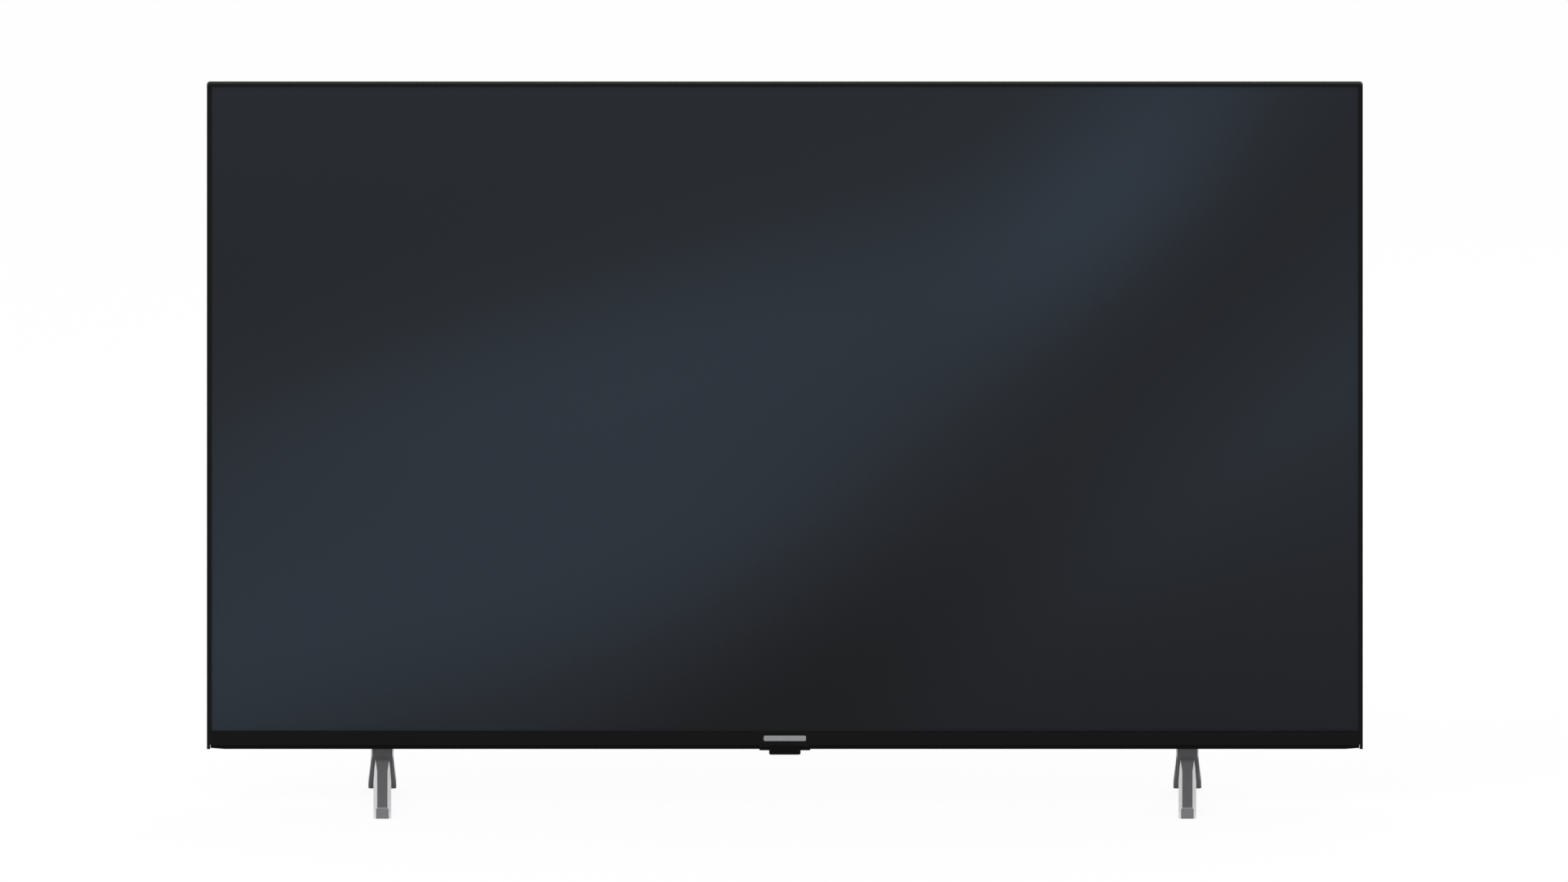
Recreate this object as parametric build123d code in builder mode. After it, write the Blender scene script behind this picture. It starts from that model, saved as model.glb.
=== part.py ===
"""Flat screen television on two splayed feet. Millimetres, +Z up, front towards -Y.

The origin is the middle of the footprint on the floor: the feet reach equally far forward and back.
"""

import os
from math import hypot

from build123d import *

# Driving sizes of the whole set
body_width = 1232
body_height = 716
floor_clearance = 60
foot_depth = 242
foot_spacing_share = 0.6964
front_setback = 110
thin_depth = 33
bulge_depth = 85
rail_depth = 19

# Clearances shared by many pieces
fit = 0.3
slide_fit = 0.1
overrun = 5

# Bezel rails and the strips below the screen
side_face = 4.6
top_face = 3.0
lip_thickness = 1.5
bezel_wall = 1.3
edge_round = 1.0
corner_round = 3.5
rim_height = 2.5
rim_setback = 0.8
rim_wall = 1.0
rim_end_rise = 1.2
rim_end_length = 15
rail_web_share = 0.7
chin_gap = 1.5
chin_height = 15.4
chin_end_band = 3.5
chin_round = 0.4
nameplate_width = 45
nameplate_height = 5.7
nameplate_thickness = 0.5
key_leg = 38
key_width = 6
key_thickness = 1.2

# Panel and backlight stack, from the front
gasket_thickness = 0.4
glass_overlap = 1.1
glass_thickness = 1.4
frame_lip_thickness = 1.2
frame_lip_width = 6.0
frame_wall = 1.4
frame_depth = 11
films_thickness = 0.6
diffuser_thickness = 1.5
tray_cavity = 21.4
tray_sheet = 0.8
tray_flange_width = 7
tray_slope_run = 21
reflector_sheet_thickness = 0.5
bar_thickness = 1.0
bar_width = 16
lens_radius = 8.0
lens_height = 5.5
lens_foot_radius = 5.0
lens_foot_share = 0.35
# Side of a lens: places out and up, as shares of its radius and height
lens_side_shares = ((1, 0.45), (1, 0.6), (0.8, 0.88), (0.4, 1), (0, 1))
bar_rows = 6
lens_columns = 10
lamp_margin = 60
support_radius = 3.5
support_tip_radius = 1.0
support_columns = 4
support_rows = 2

# Drive electronics of the panel, behind the chin
source_length = 540
source_height = 9
source_thickness = 1.0
source_gap = 30
film_width = 34
film_thickness = 0.2
films_per_board = 6
film_overlap = 4

# Rear cover
cover_wall = 2.2
cover_edge_inset = 0.6
cover_slope_inset = 9.5
bulge_half_width = 400
bulge_height = 480
bulge_bottom_rise = 4.5
bulge_side_slope = 20
bulge_top_slope = 20
bulge_bottom_slope = 6
bulge_round = 4
vent_width = 3.0
vent_length = 26
vent_pitch = 9
vent_count = 34
vent_row_pitch = 36
vent_rows = 2
vent_drop = 100
speaker_slot_count = 14
speaker_slot_width = 3.0
speaker_slot_pitch = 9
speaker_slot_length = 24

# Screws of the rear cover: places across and up, as shares of the half width and height of the body
cover_screw_shares = (
    (0.93, 0.08),
    (0.93, 0.50),
    (0.93, 0.95),
    (0.48, 0.95),
    (0.80, 0.32),
    (0.80, 0.70),
)
screw_shank_radius = 1.5
screw_head_radius = 3.2
screw_head_height = 1.8
screw_reach = 3.2
screw_boss_radius = 5
screw_slot_radius = 1.3
screw_slot_depth = 1.0

# Wall mounting inserts
vesa_pitch = 200
vesa_height = 390
insert_radius = 7
insert_flange_radius = 12
insert_flange_thickness = 2
insert_bore_radius = 3.0
insert_bore_depth = 22
insert_recess = 0.5
insert_window_radius = 9

# Circuit boards and what stands on them
board_standoff = 8
board_thickness = 1.6
standoff_radius = 3
board_edge_to_hole = 8
power_board_left = -342
power_board_right = -125
main_board_left = 120
main_board_right = 300
board_low = 122
board_high = 342
transformer_sizes = ((46, 30, 50), (38, 26, 40), (30, 22, 30))
capacitor_radius = 9
capacitor_height = 30
capacitor_count = 5
sink_length = 70
sink_height = 28
sink_depth = 10
sink_fins = 6
sink_fin_thickness = 1.2
chip_sink_size = 44
chip_sink_height = 12
chip_sink_fins = 9
chip_size = 14
chip_height = 1.4
tuner_width = 34
tuner_height = 40
tuner_depth = 11
board_screw_radius = 1.5
board_screw_head_radius = 3.0
board_screw_head_height = 2.0
wireless_width = 44
wireless_height = 26
wireless_thickness = 1.2
wireless_can_height = 2.5

# Port bays of the rear cover: where they start and end
side_bay_low = 135
side_bay_high = 345
down_bay_left = 125
down_bay_right = 230
mains_bay_low = 150
mains_bay_high = 215
bay_wall_gap = 0.8
port_mouth_recess = 0.5

# Sockets: outside size across the mouth, depth and shell
hdmi_wide = 15.0
hdmi_tall = 5.6
hdmi_depth = 12
hdmi_count = 3
usb_wide = 14.4
usb_tall = 7.0
usb_depth = 14
usb_count = 2
socket_shell = 0.5
socket_tongue_thickness = 1.6
card_wide = 56
card_tall = 8.0
card_depth = 40
card_shell = 1.0
lan_wide = 16
lan_tall = 13.5
lan_depth = 16
lan_shell = 1.5
aerial_radius = 4.75
aerial_wall = 1.0
aerial_depth = 14
aerial_pin_radius = 1.2
optical_wide = 10
optical_tall = 10
optical_depth = 12
optical_shell = 1.8
headphone_body = 8
headphone_radius = 1.8
headphone_depth = 12
inlet_wide = 26
inlet_tall = 17
inlet_depth = 22
inlet_mouth_wide = 20.0
inlet_mouth_tall = 12.4
inlet_mouth_depth = 15
inlet_pin_radius = 1.2
inlet_pin_pitch = 8.6
inlet_pin_length = 10
port_pitch = 26
port_clearance = 0.4

# Speakers
speaker_left_edge = 235
speaker_right_edge = 375
speaker_low = 76
speaker_box_height = 42
speaker_box_front = 24
speaker_box_depth = 42
speaker_wall = 1.8
driver_flange_radius = 19
driver_flange_thickness = 1.5
driver_radius = 15
driver_wall = 1.2
driver_height = 9
magnet_radius = 12
magnet_height = 9
magnet_gap_depth = 4
cone_radius = 11
cone_thickness = 0.8
cone_height = 4
cone_rise = 3
coil_radius = 6
coil_thickness = 0.8
coil_height = 4
coil_gap = 0.5
surround_thickness = 0.5
surround_rise = 1.2
cone_travel = 1.0

# Receiver tab and joystick key under the chin
tab_width = 33.6
tab_height = 10
tab_thickness = 2.0
tab_round = 1.8
flange_width = 54.5
flange_drop = 1.7
flange_depth = 22
flange_round = 1.6
stick_place = 12.5
stick_cap_radius = 6
stick_cap_height = 2.6
stick_cap_drop = 4.0
stick_cap_wall = 1.0
stick_shaft_radius = 1.5
stick_window_radius = 4.5
stick_pivot_rise = 11
stick_can_half = 6
stick_can_height = 12.5
stick_can_wall = 0.6
gimbal_outer = 3.9
gimbal_inner = 2.6
gimbal_height = 1.6
gimbal_pin_radius = 0.5
pin_fit = 0.05
stick_press = 0.6
control_board_width = 40
control_board_depth = 16
control_board_thickness = 1.2
receiver_board_width = 22
receiver_board_height = 3.6
receiver_board_thickness = 0.8
receiver_radius = 1.5
receiver_depth = 0.8
lamp_width = 1.6
lamp_place = 7

# Feet
foot_block_width = 24
foot_block_depth = 20
foot_block_drop = 12
foot_toe_width = 13.5
foot_toe_height = 12.5
foot_front_width = 18.8
foot_front_face = 11
foot_neck_width = 14.8
foot_shoulder_width = 16.8
foot_shoulder_reach = 15
foot_shoulder_end = 42
foot_flank_height = 7
foot_runout = 32
foot_runout_start_share = 0.06
foot_rear_width = 30
foot_thickness = 14.2
foot_apex_share = 0.3
foot_chamfer = 2.2
foot_edge_chamfer = 1.3
foot_sole = 10
foot_ground_gap = 0.5
pad_thickness = 2.0
pad_length = 5
pad_width = 8
pad_setback = 3.6
foot_tongue_width = 16
foot_tongue_depth = 12
foot_tongue_height = 26
foot_screw_radius = 2.0
foot_screw_head_radius = 3.6
foot_screw_head_height = 2.0
foot_screw_length = 9
foot_screw_pitch = 10
foot_screw_first = 10
bracket_wall = 2.0
bracket_width = 40
bracket_plate_height = 52
bracket_plate = 1.5

# Wiring
ribbon_width = 30
ribbon_thickness = 0.3
ribbon_place = 152
ribbon_plug_height = 6
ribbon_plug_depth = 2
wire_radius = 1.1
wireless_wire_radius = 0.8
harness_radius = 2.0
harness_sag = 12
wire_bend = 4
plug_size = 8
wire_lift = 2.2
clip_width = 8
clip_wall = 1.5
clip_bore_gap = 0.9
clip_shares = (0.25, 0.75)
harness_share = 0.36
left_speaker_share = 0.13
control_share = 0.24
wireless_share = 0.85

# Places that follow from the driving sizes
foot_spacing = body_width * foot_spacing_share
half_width = body_width / 2
body_bottom = floor_clearance
body_top = body_bottom + body_height
front = -foot_depth / 2 + front_setback
rail_back = front + rail_depth
thin_back = front + thin_depth
bulge_back = front + bulge_depth
lip_back = front + lip_thickness
rim_top = body_bottom + rim_height
chin_bottom = rim_top + chin_gap
open_bottom = chin_bottom + chin_height
open_top = body_top - top_face
open_half = half_width - side_face
open_middle = (open_bottom + open_top) / 2

glass_front = lip_back + gasket_thickness
glass_back = glass_front + glass_thickness
glass_half = open_half + glass_overlap
glass_low = open_bottom - glass_overlap
glass_high = open_top + glass_overlap
films_front = glass_back + frame_lip_thickness
diffuser_front = films_front + films_thickness
tray_front = diffuser_front + diffuser_thickness
tray_inside = tray_front + tray_cavity
tray_back = tray_inside + tray_sheet

frame_half = half_width - bezel_wall - fit
frame_low = glass_low - frame_wall
frame_high = body_top - bezel_wall - fit
sheet_half = frame_half - frame_wall - fit
sheet_low = frame_low + frame_wall + fit
sheet_high = frame_high - frame_wall - fit

cover_inside = thin_back - cover_wall
board_front = tray_back + board_standoff
board_back = board_front + board_thickness


# Helpers
def save(builder, label):
    """Name the finished piece and write it to its own file."""
    builder.part.label = label
    export_step(builder.part, f"parts/{label}.step")


def block(low, high, mode=Mode.ADD):
    """Rectangular block between two corners."""
    with Locations(low):
        Box(high[0] - low[0], high[1] - low[1], high[2] - low[2], align=(Align.MIN,) * 3, mode=mode)


def rod(start, direction, radius, length, mode=Mode.ADD):
    """Round bar from a start point along a direction."""
    with Locations(Plane(origin=start, z_dir=direction)):
        Cylinder(radius, length, align=(Align.CENTER, Align.CENTER, Align.MIN), mode=mode)


def upright(place):
    """Upright plane facing the front, at a distance behind the origin."""
    return Plane.XZ.offset(-place)


def ring_sketch(outer, inner):
    """Rectangular ring on the sketch in use; each rectangle is half width, low and high edge."""
    for (half, low, high), mode in ((outer, Mode.ADD), (inner, Mode.SUBTRACT)):
        with Locations((0, (low + high) / 2)):
            Rectangle(2 * half, high - low, mode=mode)


def tapered_block(front_place, front_rectangle, back_place, back_rectangle):
    """Solid between two upright rectangles, each given as half width, low and high edge."""
    with BuildPart() as form:
        for place, (half, low, high) in ((front_place, front_rectangle), (back_place, back_rectangle)):
            with BuildSketch(upright(place)):
                with Locations((0, (low + high) / 2)):
                    Rectangle(2 * half, high - low)
        loft(ruled=True)
    return form.part


def cable(points, radius, bend):
    """Round cable along straight runs joined by arcs."""
    with BuildPart() as form:
        with BuildLine() as route:
            FilletPolyline(*points, radius=bend)
        with BuildSketch(Plane(origin=points[0], z_dir=route.line % 0)) as section:
            Circle(radius)
        sweep(section.sketch, path=route.line)
    return form.part


os.makedirs("parts", exist_ok=True)


# Bezel rails: a lip in front of the glass and a wall round the edge, cut at 45 degrees at the top corners
def outer_form():
    """The bezel's whole outside, with its rounded top corners and softened front edge."""
    with BuildPart() as form:
        with BuildSketch(upright(rail_back)):
            with Locations((0, (body_bottom + body_top) / 2)):
                Rectangle(body_width, body_height)
        extrude(amount=rail_depth)
        fillet(form.edges().filter_by(Axis.Y).group_by(Axis.Z)[-1], corner_round)
        fillet(form.faces().sort_by(Axis.Y)[0].edges().sort_by(Axis.Z)[1:], edge_round)
    return form.part


def bezel_ring():
    """All the rails in one piece, before they are cut apart."""
    with BuildPart() as ring:
        add(outer_form())
        with BuildSketch(upright(front - overrun)):
            with Locations((0, open_middle)):
                Rectangle(2 * open_half, open_top - open_bottom)
        extrude(amount=-(rail_depth + 2 * overrun), mode=Mode.SUBTRACT)
        block(
            (bezel_wall - half_width, lip_back, body_bottom - overrun),
            (half_width - bezel_wall, rail_back + overrun, body_top - bezel_wall),
            mode=Mode.SUBTRACT,
        )
        block(
            (chin_end_band - half_width, front - overrun, body_bottom - overrun),
            (half_width - chin_end_band, rail_back + overrun, open_bottom),
            mode=Mode.SUBTRACT,
        )
    return ring.part


def corner_wedge(side):
    """Plan of one side rail seen from the front, up to the mitre at the top corner."""
    edge = side * (half_width + overrun)
    with BuildPart() as wedge:
        with BuildSketch(upright(rail_back + overrun)):
            with BuildLine():
                Polyline(
                    (edge, body_bottom - overrun),
                    (edge, body_top + overrun),
                    (side * (half_width - corner_round), body_top - corner_round),
                    (side * (half_width - 2 * side_face), body_top - 2 * side_face),
                    (side * (half_width - 2 * side_face), body_bottom - overrun),
                    close=True,
                )
            make_face()
        extrude(amount=rail_depth + 2 * overrun)
    return wedge.part


whole_bezel = bezel_ring()

with BuildPart() as bezel_top:
    add(whole_bezel)
    for side in (-1, 1):
        add(corner_wedge(side), mode=Mode.SUBTRACT)
save(bezel_top, "bezel_top")

for side, side_name in ((-1, "left"), (1, "right")):
    with BuildPart() as bezel_side:
        add(whole_bezel)
        add(corner_wedge(side), mode=Mode.INTERSECT)
    save(bezel_side, f"bezel_{side_name}")

# Corner keys: flat steel angles screwed behind the middle frame, which square up the top corners
key_front = front + lip_thickness + gasket_thickness + glass_thickness + frame_depth + fit
key_half = half_width - bezel_wall - slide_fit
key_top = body_top - bezel_wall - slide_fit
with BuildPart() as corner_keys:
    for side in (-1, 1):
        with BuildSketch(upright(key_front + key_thickness)):
            with BuildLine():
                Polyline(
                    (side * key_half, key_top - key_leg),
                    (side * key_half, key_top - corner_round),
                    (side * (key_half - corner_round), key_top),
                    (side * (key_half - key_leg), key_top),
                    (side * (key_half - key_leg), key_top - key_width),
                    (side * (key_half - key_width), key_top - key_width),
                    (side * (key_half - key_width), key_top - key_leg),
                    close=True,
                )
            make_face()
    extrude(amount=key_thickness)
save(corner_keys, "corner_keys")

# Chin: the wider strip below the screen, between the ends of the side rails, with a short step down
# either side of the receiver tab
chin_half = half_width - chin_end_band - slide_fit
step_half = flange_width / 2
step_low = rim_top + slide_fit
tab_slot_half = tab_width / 2 + slide_fit
with BuildPart() as bottom_trim:
    with BuildSketch(upright(lip_back)):
        with BuildLine():
            Polyline(
                (-chin_half, open_bottom),
                (-chin_half, chin_bottom),
                (-step_half, chin_bottom),
                (-step_half, step_low),
                (-tab_slot_half, step_low),
                (-tab_slot_half, chin_bottom),
                (tab_slot_half, chin_bottom),
                (tab_slot_half, step_low),
                (step_half, step_low),
                (step_half, chin_bottom),
                (chin_half, chin_bottom),
                (chin_half, open_bottom),
                close=True,
            )
        make_face()
    extrude(amount=lip_thickness)
    level_edges = bottom_trim.faces().sort_by(Axis.Y)[0].edges().filter_by(Axis.X)
    fillet(level_edges.filter_by(lambda edge: edge.length > tab_width + fit), chin_round)
save(bottom_trim, "bottom_trim")

# Blank plate in the middle of the chin, bonded to its face
plate_middle = (chin_bottom + open_bottom) / 2
with BuildPart() as nameplate:
    block(
        (-nameplate_width / 2, front - nameplate_thickness, plate_middle - nameplate_height / 2),
        (nameplate_width / 2, front, plate_middle + nameplate_height / 2),
    )
    fillet(nameplate.edges().filter_by(Axis.Y), nameplate_height / 4)
save(nameplate, "nameplate")

# Lower rail: the rim under the shadow gap, with a web behind the chin that carries it
rim_front = front + rim_setback
rim_half = half_width - chin_end_band - fit
web_top = chin_bottom + chin_height * rail_web_share
foot_block_front = thin_back - foot_block_depth - fit
tongue_front = foot_block_front + (foot_block_depth - foot_tongue_depth) / 2
stick_y = front + stick_place
with BuildPart() as bottom_rail:
    with BuildSketch(upright(thin_back)):
        with BuildLine():
            Polyline(
                (-rim_half, rim_top),
                (-rim_half, body_bottom + rim_end_rise),
                (-rim_half + rim_end_length, body_bottom),
                (rim_half - rim_end_length, body_bottom),
                (rim_half, body_bottom + rim_end_rise),
                (rim_half, rim_top),
                close=True,
            )
        make_face()
    extrude(amount=thin_back - rim_front)
    # Its ends follow the slope of the rear cover's edge
    with BuildSketch(Plane.XY.offset(body_bottom)):
        for side in (-1, 1):
            with BuildLine():
                Polyline(
                    (side * rim_half, rail_back),
                    (side * (rim_half + overrun), rail_back),
                    (side * (rim_half + overrun), thin_back),
                    (side * (rim_half - cover_slope_inset), thin_back),
                    close=True,
                )
            make_face()
    extrude(amount=rim_height, mode=Mode.SUBTRACT)
    block((-rim_half, lip_back, rim_top), (rim_half, lip_back + rim_wall, web_top))
    for side in (-1, 1):
        middle = side * foot_spacing / 2
        half_slot = foot_tongue_width / 2 + fit
        block(
            (middle - half_slot, tongue_front - fit, body_bottom - overrun),
            (middle + half_slot, tongue_front + foot_tongue_depth + fit, rim_top + overrun),
            mode=Mode.SUBTRACT,
        )
    rod((0, stick_y, body_bottom - overrun), (0, 0, 1), stick_window_radius, rim_height + 2 * overrun,
        mode=Mode.SUBTRACT)
    for half, high in ((tab_width / 2 + fit, chin_bottom + fit), (step_half + fit, rim_top)):
        block(
            (-half, front - overrun, body_bottom - overrun),
            (half, front + tab_thickness + fit, high),
            mode=Mode.SUBTRACT,
        )
save(bottom_rail, "bottom_rail")

# Gasket between the bezel's lip and the glass
with BuildPart() as panel_gasket:
    with BuildSketch(upright(glass_front)):
        ring_sketch((glass_half, glass_low, glass_high), (open_half - fit, open_bottom + fit, open_top - fit))
    extrude(amount=gasket_thickness)
save(panel_gasket, "panel_gasket")

# LCD cell: the glass that is the screen
with BuildPart() as lcd_panel:
    block((-glass_half, glass_front, glass_low), (glass_half, glass_back, glass_high))
save(lcd_panel, "lcd_panel")

# Middle frame: a lip behind the glass and a wall round the backlight
with BuildPart() as middle_frame:
    with BuildSketch(upright(glass_back + frame_lip_thickness)):
        ring_sketch(
            (frame_half, frame_low, frame_high),
            (frame_half - frame_lip_width, frame_low + frame_lip_width, frame_high - frame_lip_width),
        )
    extrude(amount=frame_lip_thickness)
    with BuildSketch(upright(glass_back + frame_depth)):
        ring_sketch(
            (frame_half, frame_low, frame_high),
            (frame_half - frame_wall, frame_low + frame_wall, frame_high - frame_wall),
        )
    extrude(amount=frame_depth)
save(middle_frame, "middle_frame")

# Optical films and diffuser plate, held between the middle frame's lip and the tray's flange
with BuildPart() as optical_films:
    block((-sheet_half, films_front, sheet_low), (sheet_half, diffuser_front, sheet_high))
save(optical_films, "optical_films")

with BuildPart() as diffuser_plate:
    block((-sheet_half, diffuser_front, sheet_low), (sheet_half, tray_front, sheet_high))
save(diffuser_plate, "diffuser_plate")


# Back tray: a steel dish with a flange, sloping sides and standoffs for the boards
def tray_outline(inset):
    """Half width, low and high edge of the tray's mouth, drawn in by an inset."""
    return (sheet_half - inset, sheet_low + inset, sheet_high - inset)


def dish(inset, front_place, back_place):
    """Sloping inside of the tray, drawn in by an inset."""
    mouth = tray_outline(tray_flange_width + inset)
    floor = tray_outline(tray_flange_width + tray_slope_run + inset)
    return tapered_block(front_place, mouth, back_place, floor)


board_corners = [
    (x, z)
    for left, right in ((power_board_left, power_board_right), (main_board_left, main_board_right))
    for x in (left + board_edge_to_hole, right - board_edge_to_hole)
    for z in (board_low + board_edge_to_hole, board_high - board_edge_to_hole)
]
insert_places = [
    (side_x * vesa_pitch / 2, vesa_height + side_z * vesa_pitch / 2)
    for side_x in (-1, 1)
    for side_z in (-1, 1)
]


def cover_screw_places():
    """Places of all the cover's screws, mirrored left and right."""
    return [
        (side * share_x * half_width, body_bottom + share_z * body_height)
        for share_x, share_z in cover_screw_shares
        for side in (-1, 1)
    ]


with BuildPart() as back_tray:
    with BuildSketch(upright(tray_front + tray_sheet)):
        ring_sketch(tray_outline(0), tray_outline(tray_flange_width))
    extrude(amount=tray_sheet)
    add(dish(-tray_sheet, tray_front, tray_back))
    add(dish(0, tray_front - slide_fit, tray_inside), mode=Mode.SUBTRACT)
    for x, z in board_corners:
        rod((x, tray_inside, z), (0, 1, 0), standoff_radius, board_front - tray_inside)
        rod((x, board_front, z), (0, -1, 0), board_screw_radius, board_standoff, mode=Mode.SUBTRACT)
    for x, z in cover_screw_places():
        rod((x, tray_front - overrun, z), (0, 1, 0), screw_shank_radius + fit, tray_cavity + 2 * overrun,
            mode=Mode.SUBTRACT)
save(back_tray, "back_tray")

# Lamp grid: rows of LED bars on the tray's floor, with a lens over each lamp
floor_half = sheet_half - tray_flange_width - tray_slope_run
floor_low = sheet_low + tray_flange_width + tray_slope_run
floor_high = sheet_high - tray_flange_width - tray_slope_run
floor_middle = (floor_low + floor_high) / 2
column_pitch = 2 * (floor_half - lamp_margin / 2) / lens_columns
row_pitch = (floor_high - floor_low) / bar_rows
bar_front = tray_inside - bar_thickness
reflector_back = bar_front - slide_fit
reflector_front = reflector_back - reflector_sheet_thickness

with BuildPart() as led_bars:
    with BuildSketch(upright(tray_inside)):
        with Locations((0, floor_middle)):
            with GridLocations(0, row_pitch, 1, bar_rows):
                Rectangle(column_pitch * lens_columns, bar_width)
    extrude(amount=bar_thickness)
save(led_bars, "led_bars")

with BuildPart() as reflector_sheet:
    add(dish(2 * fit, tray_front + fit, reflector_back))
    add(dish(2 * fit + reflector_sheet_thickness, tray_front, reflector_front), mode=Mode.SUBTRACT)
    with BuildSketch(upright(tray_inside)):
        with Locations((0, floor_middle)):
            with GridLocations(column_pitch, row_pitch, lens_columns, bar_rows):
                Circle(lens_foot_radius + 2 * fit)
    extrude(amount=tray_inside - reflector_front + overrun, mode=Mode.SUBTRACT)
save(reflector_sheet, "reflector_sheet")

with BuildPart() as lens_shape:
    with BuildSketch(Plane.XZ):
        with BuildLine():
            Polyline(
                (0, 0),
                (lens_foot_radius, 0),
                (lens_foot_radius, lens_height * lens_foot_share),
                *[(lens_radius * out, lens_height * up) for out, up in lens_side_shares],
                close=True,
            )
        make_face()
    revolve(axis=Axis.Z)

with BuildPart() as led_lenses:
    with Locations(Plane(origin=(0, bar_front, floor_middle), x_dir=(1, 0, 0), z_dir=(0, -1, 0))):
        with GridLocations(column_pitch, row_pitch, lens_columns, bar_rows):
            add(lens_shape.part)
save(led_lenses, "led_lenses")

# Diffuser supports: clear pins that stand on the reflector between the lamps
support_length = reflector_front - tray_front - fit
with BuildPart() as diffuser_supports:
    with Locations(Plane(origin=(0, reflector_front, floor_middle), x_dir=(1, 0, 0), z_dir=(0, -1, 0))):
        with GridLocations(2 * column_pitch, 2 * row_pitch, support_columns, support_rows):
            Cone(support_radius, support_tip_radius, support_length,
                 align=(Align.CENTER, Align.CENTER, Align.MIN))
save(diffuser_supports, "diffuser_supports")

# Source boards behind the chin, and the films that join them to the glass
film_front = glass_front + (glass_thickness - film_thickness) / 2
source_front = film_front + film_thickness
source_low = rim_top + fit
source_starts = [side * (source_gap / 2 + source_length / 2) - source_length / 2 for side in (-1, 1)]
with BuildPart() as source_boards:
    for start in source_starts:
        block(
            (start, source_front, source_low),
            (start + source_length, source_front + source_thickness, source_low + source_height),
        )
save(source_boards, "source_boards")

film_pitch = source_length / films_per_board
with BuildPart() as cof_films:
    for start in source_starts:
        for number in range(films_per_board):
            middle = start + (number + 0.5) * film_pitch
            block(
                (middle - film_width / 2, film_front, source_low + source_height - film_overlap),
                (middle + film_width / 2, source_front, glass_low),
            )
save(cof_films, "cof_films")


# Rear cover: a shallow dish over the whole back with a deeper bulge over the boards
def cover_form(inset):
    """Outside form of the cover, drawn in by an inset on every side but the front."""
    base_half = half_width - cover_edge_inset - inset
    base_low = rim_top + inset
    base_high = body_top - cover_edge_inset - inset
    bulge_half = bulge_half_width - inset
    bulge_low = rim_top + bulge_bottom_rise + inset
    bulge_high = bulge_low + bulge_height - 2 * inset
    with BuildPart() as form:
        add(tapered_block(
            rail_back,
            (base_half, base_low, base_high),
            thin_back - inset,
            (base_half - cover_slope_inset, base_low, base_high - cover_slope_inset),
        ))
        add(tapered_block(
            rail_back,
            (bulge_half, bulge_low, bulge_high),
            bulge_back - inset,
            (bulge_half - bulge_side_slope, bulge_low + bulge_bottom_slope, bulge_high - bulge_top_slope),
        ))
    return form.part


def port_bays(grow):
    """Cut the three pockets that the sockets face, grown on every side but the back."""
    back = bulge_back + overrun
    block(
        (side_bay_face - grow, thin_back - grow, side_bay_low - grow),
        (half_width, back, side_bay_high + grow),
        mode=Mode.SUBTRACT,
    )
    block(
        (down_bay_left - grow, thin_back - grow, body_bottom),
        (down_bay_right + grow, back, down_bay_face + grow),
        mode=Mode.SUBTRACT,
    )
    block(
        (-half_width, thin_back - grow, mains_bay_low - grow),
        (mains_bay_face + grow, back, mains_bay_high + grow),
        mode=Mode.SUBTRACT,
    )


side_bay_face = main_board_right + bay_wall_gap + cover_wall
down_bay_face = board_low - bay_wall_gap - cover_wall
mains_bay_face = power_board_left - bay_wall_gap - cover_wall

# Places of the sockets: up the side bay, along the downward bay and in the mains bay
side_ports = [side_bay_high - port_pitch * (number + 1) for number in range(usb_count + hdmi_count)]
usb_places = side_ports[:usb_count]
hdmi_places = side_ports[usb_count:]
card_place = side_ports[-1] - port_pitch / 2 - card_wide / 2
down_step = (down_bay_right - down_bay_left) / 5
down_ports = [down_bay_left + down_step * (number + 0.5) for number in range(5)]
aerial_places = down_ports[:2]
lan_place, optical_place, headphone_place = down_ports[2:]
inlet_place = (mains_bay_low + mains_bay_high) / 2
aerial_y = board_back + aerial_radius + fit
headphone_y = board_back + headphone_body / 2


def side_window(middle, wide, tall):
    """Opening for one socket in the wall of the side bay."""
    half = wide / 2 + port_clearance
    block(
        (side_bay_face - cover_wall - overrun, board_back - port_clearance, middle - half),
        (side_bay_face + overrun, board_back + tall + port_clearance, middle + half),
        mode=Mode.SUBTRACT,
    )


def down_window(middle, wide, tall):
    """Opening for one socket in the wall of the downward bay."""
    half = wide / 2 + port_clearance
    block(
        (middle - half, board_back - port_clearance, down_bay_face - overrun),
        (middle + half, board_back + tall + port_clearance, down_bay_face + cover_wall + overrun),
        mode=Mode.SUBTRACT,
    )


vent_middle = rim_top + bulge_bottom_rise + bulge_height - vent_drop - vent_row_pitch / 2
speaker_middles = [side * (speaker_left_edge + speaker_right_edge) / 2 for side in (-1, 1)]
driver_y = speaker_box_front + speaker_box_depth / 2
foot_screw_heights = [body_bottom + foot_screw_first + number * foot_screw_pitch for number in range(2)]

screw_seat = thin_back - screw_head_height - slide_fit

with BuildPart() as cover_cavity:
    add(cover_form(cover_wall))
    port_bays(cover_wall)

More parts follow.
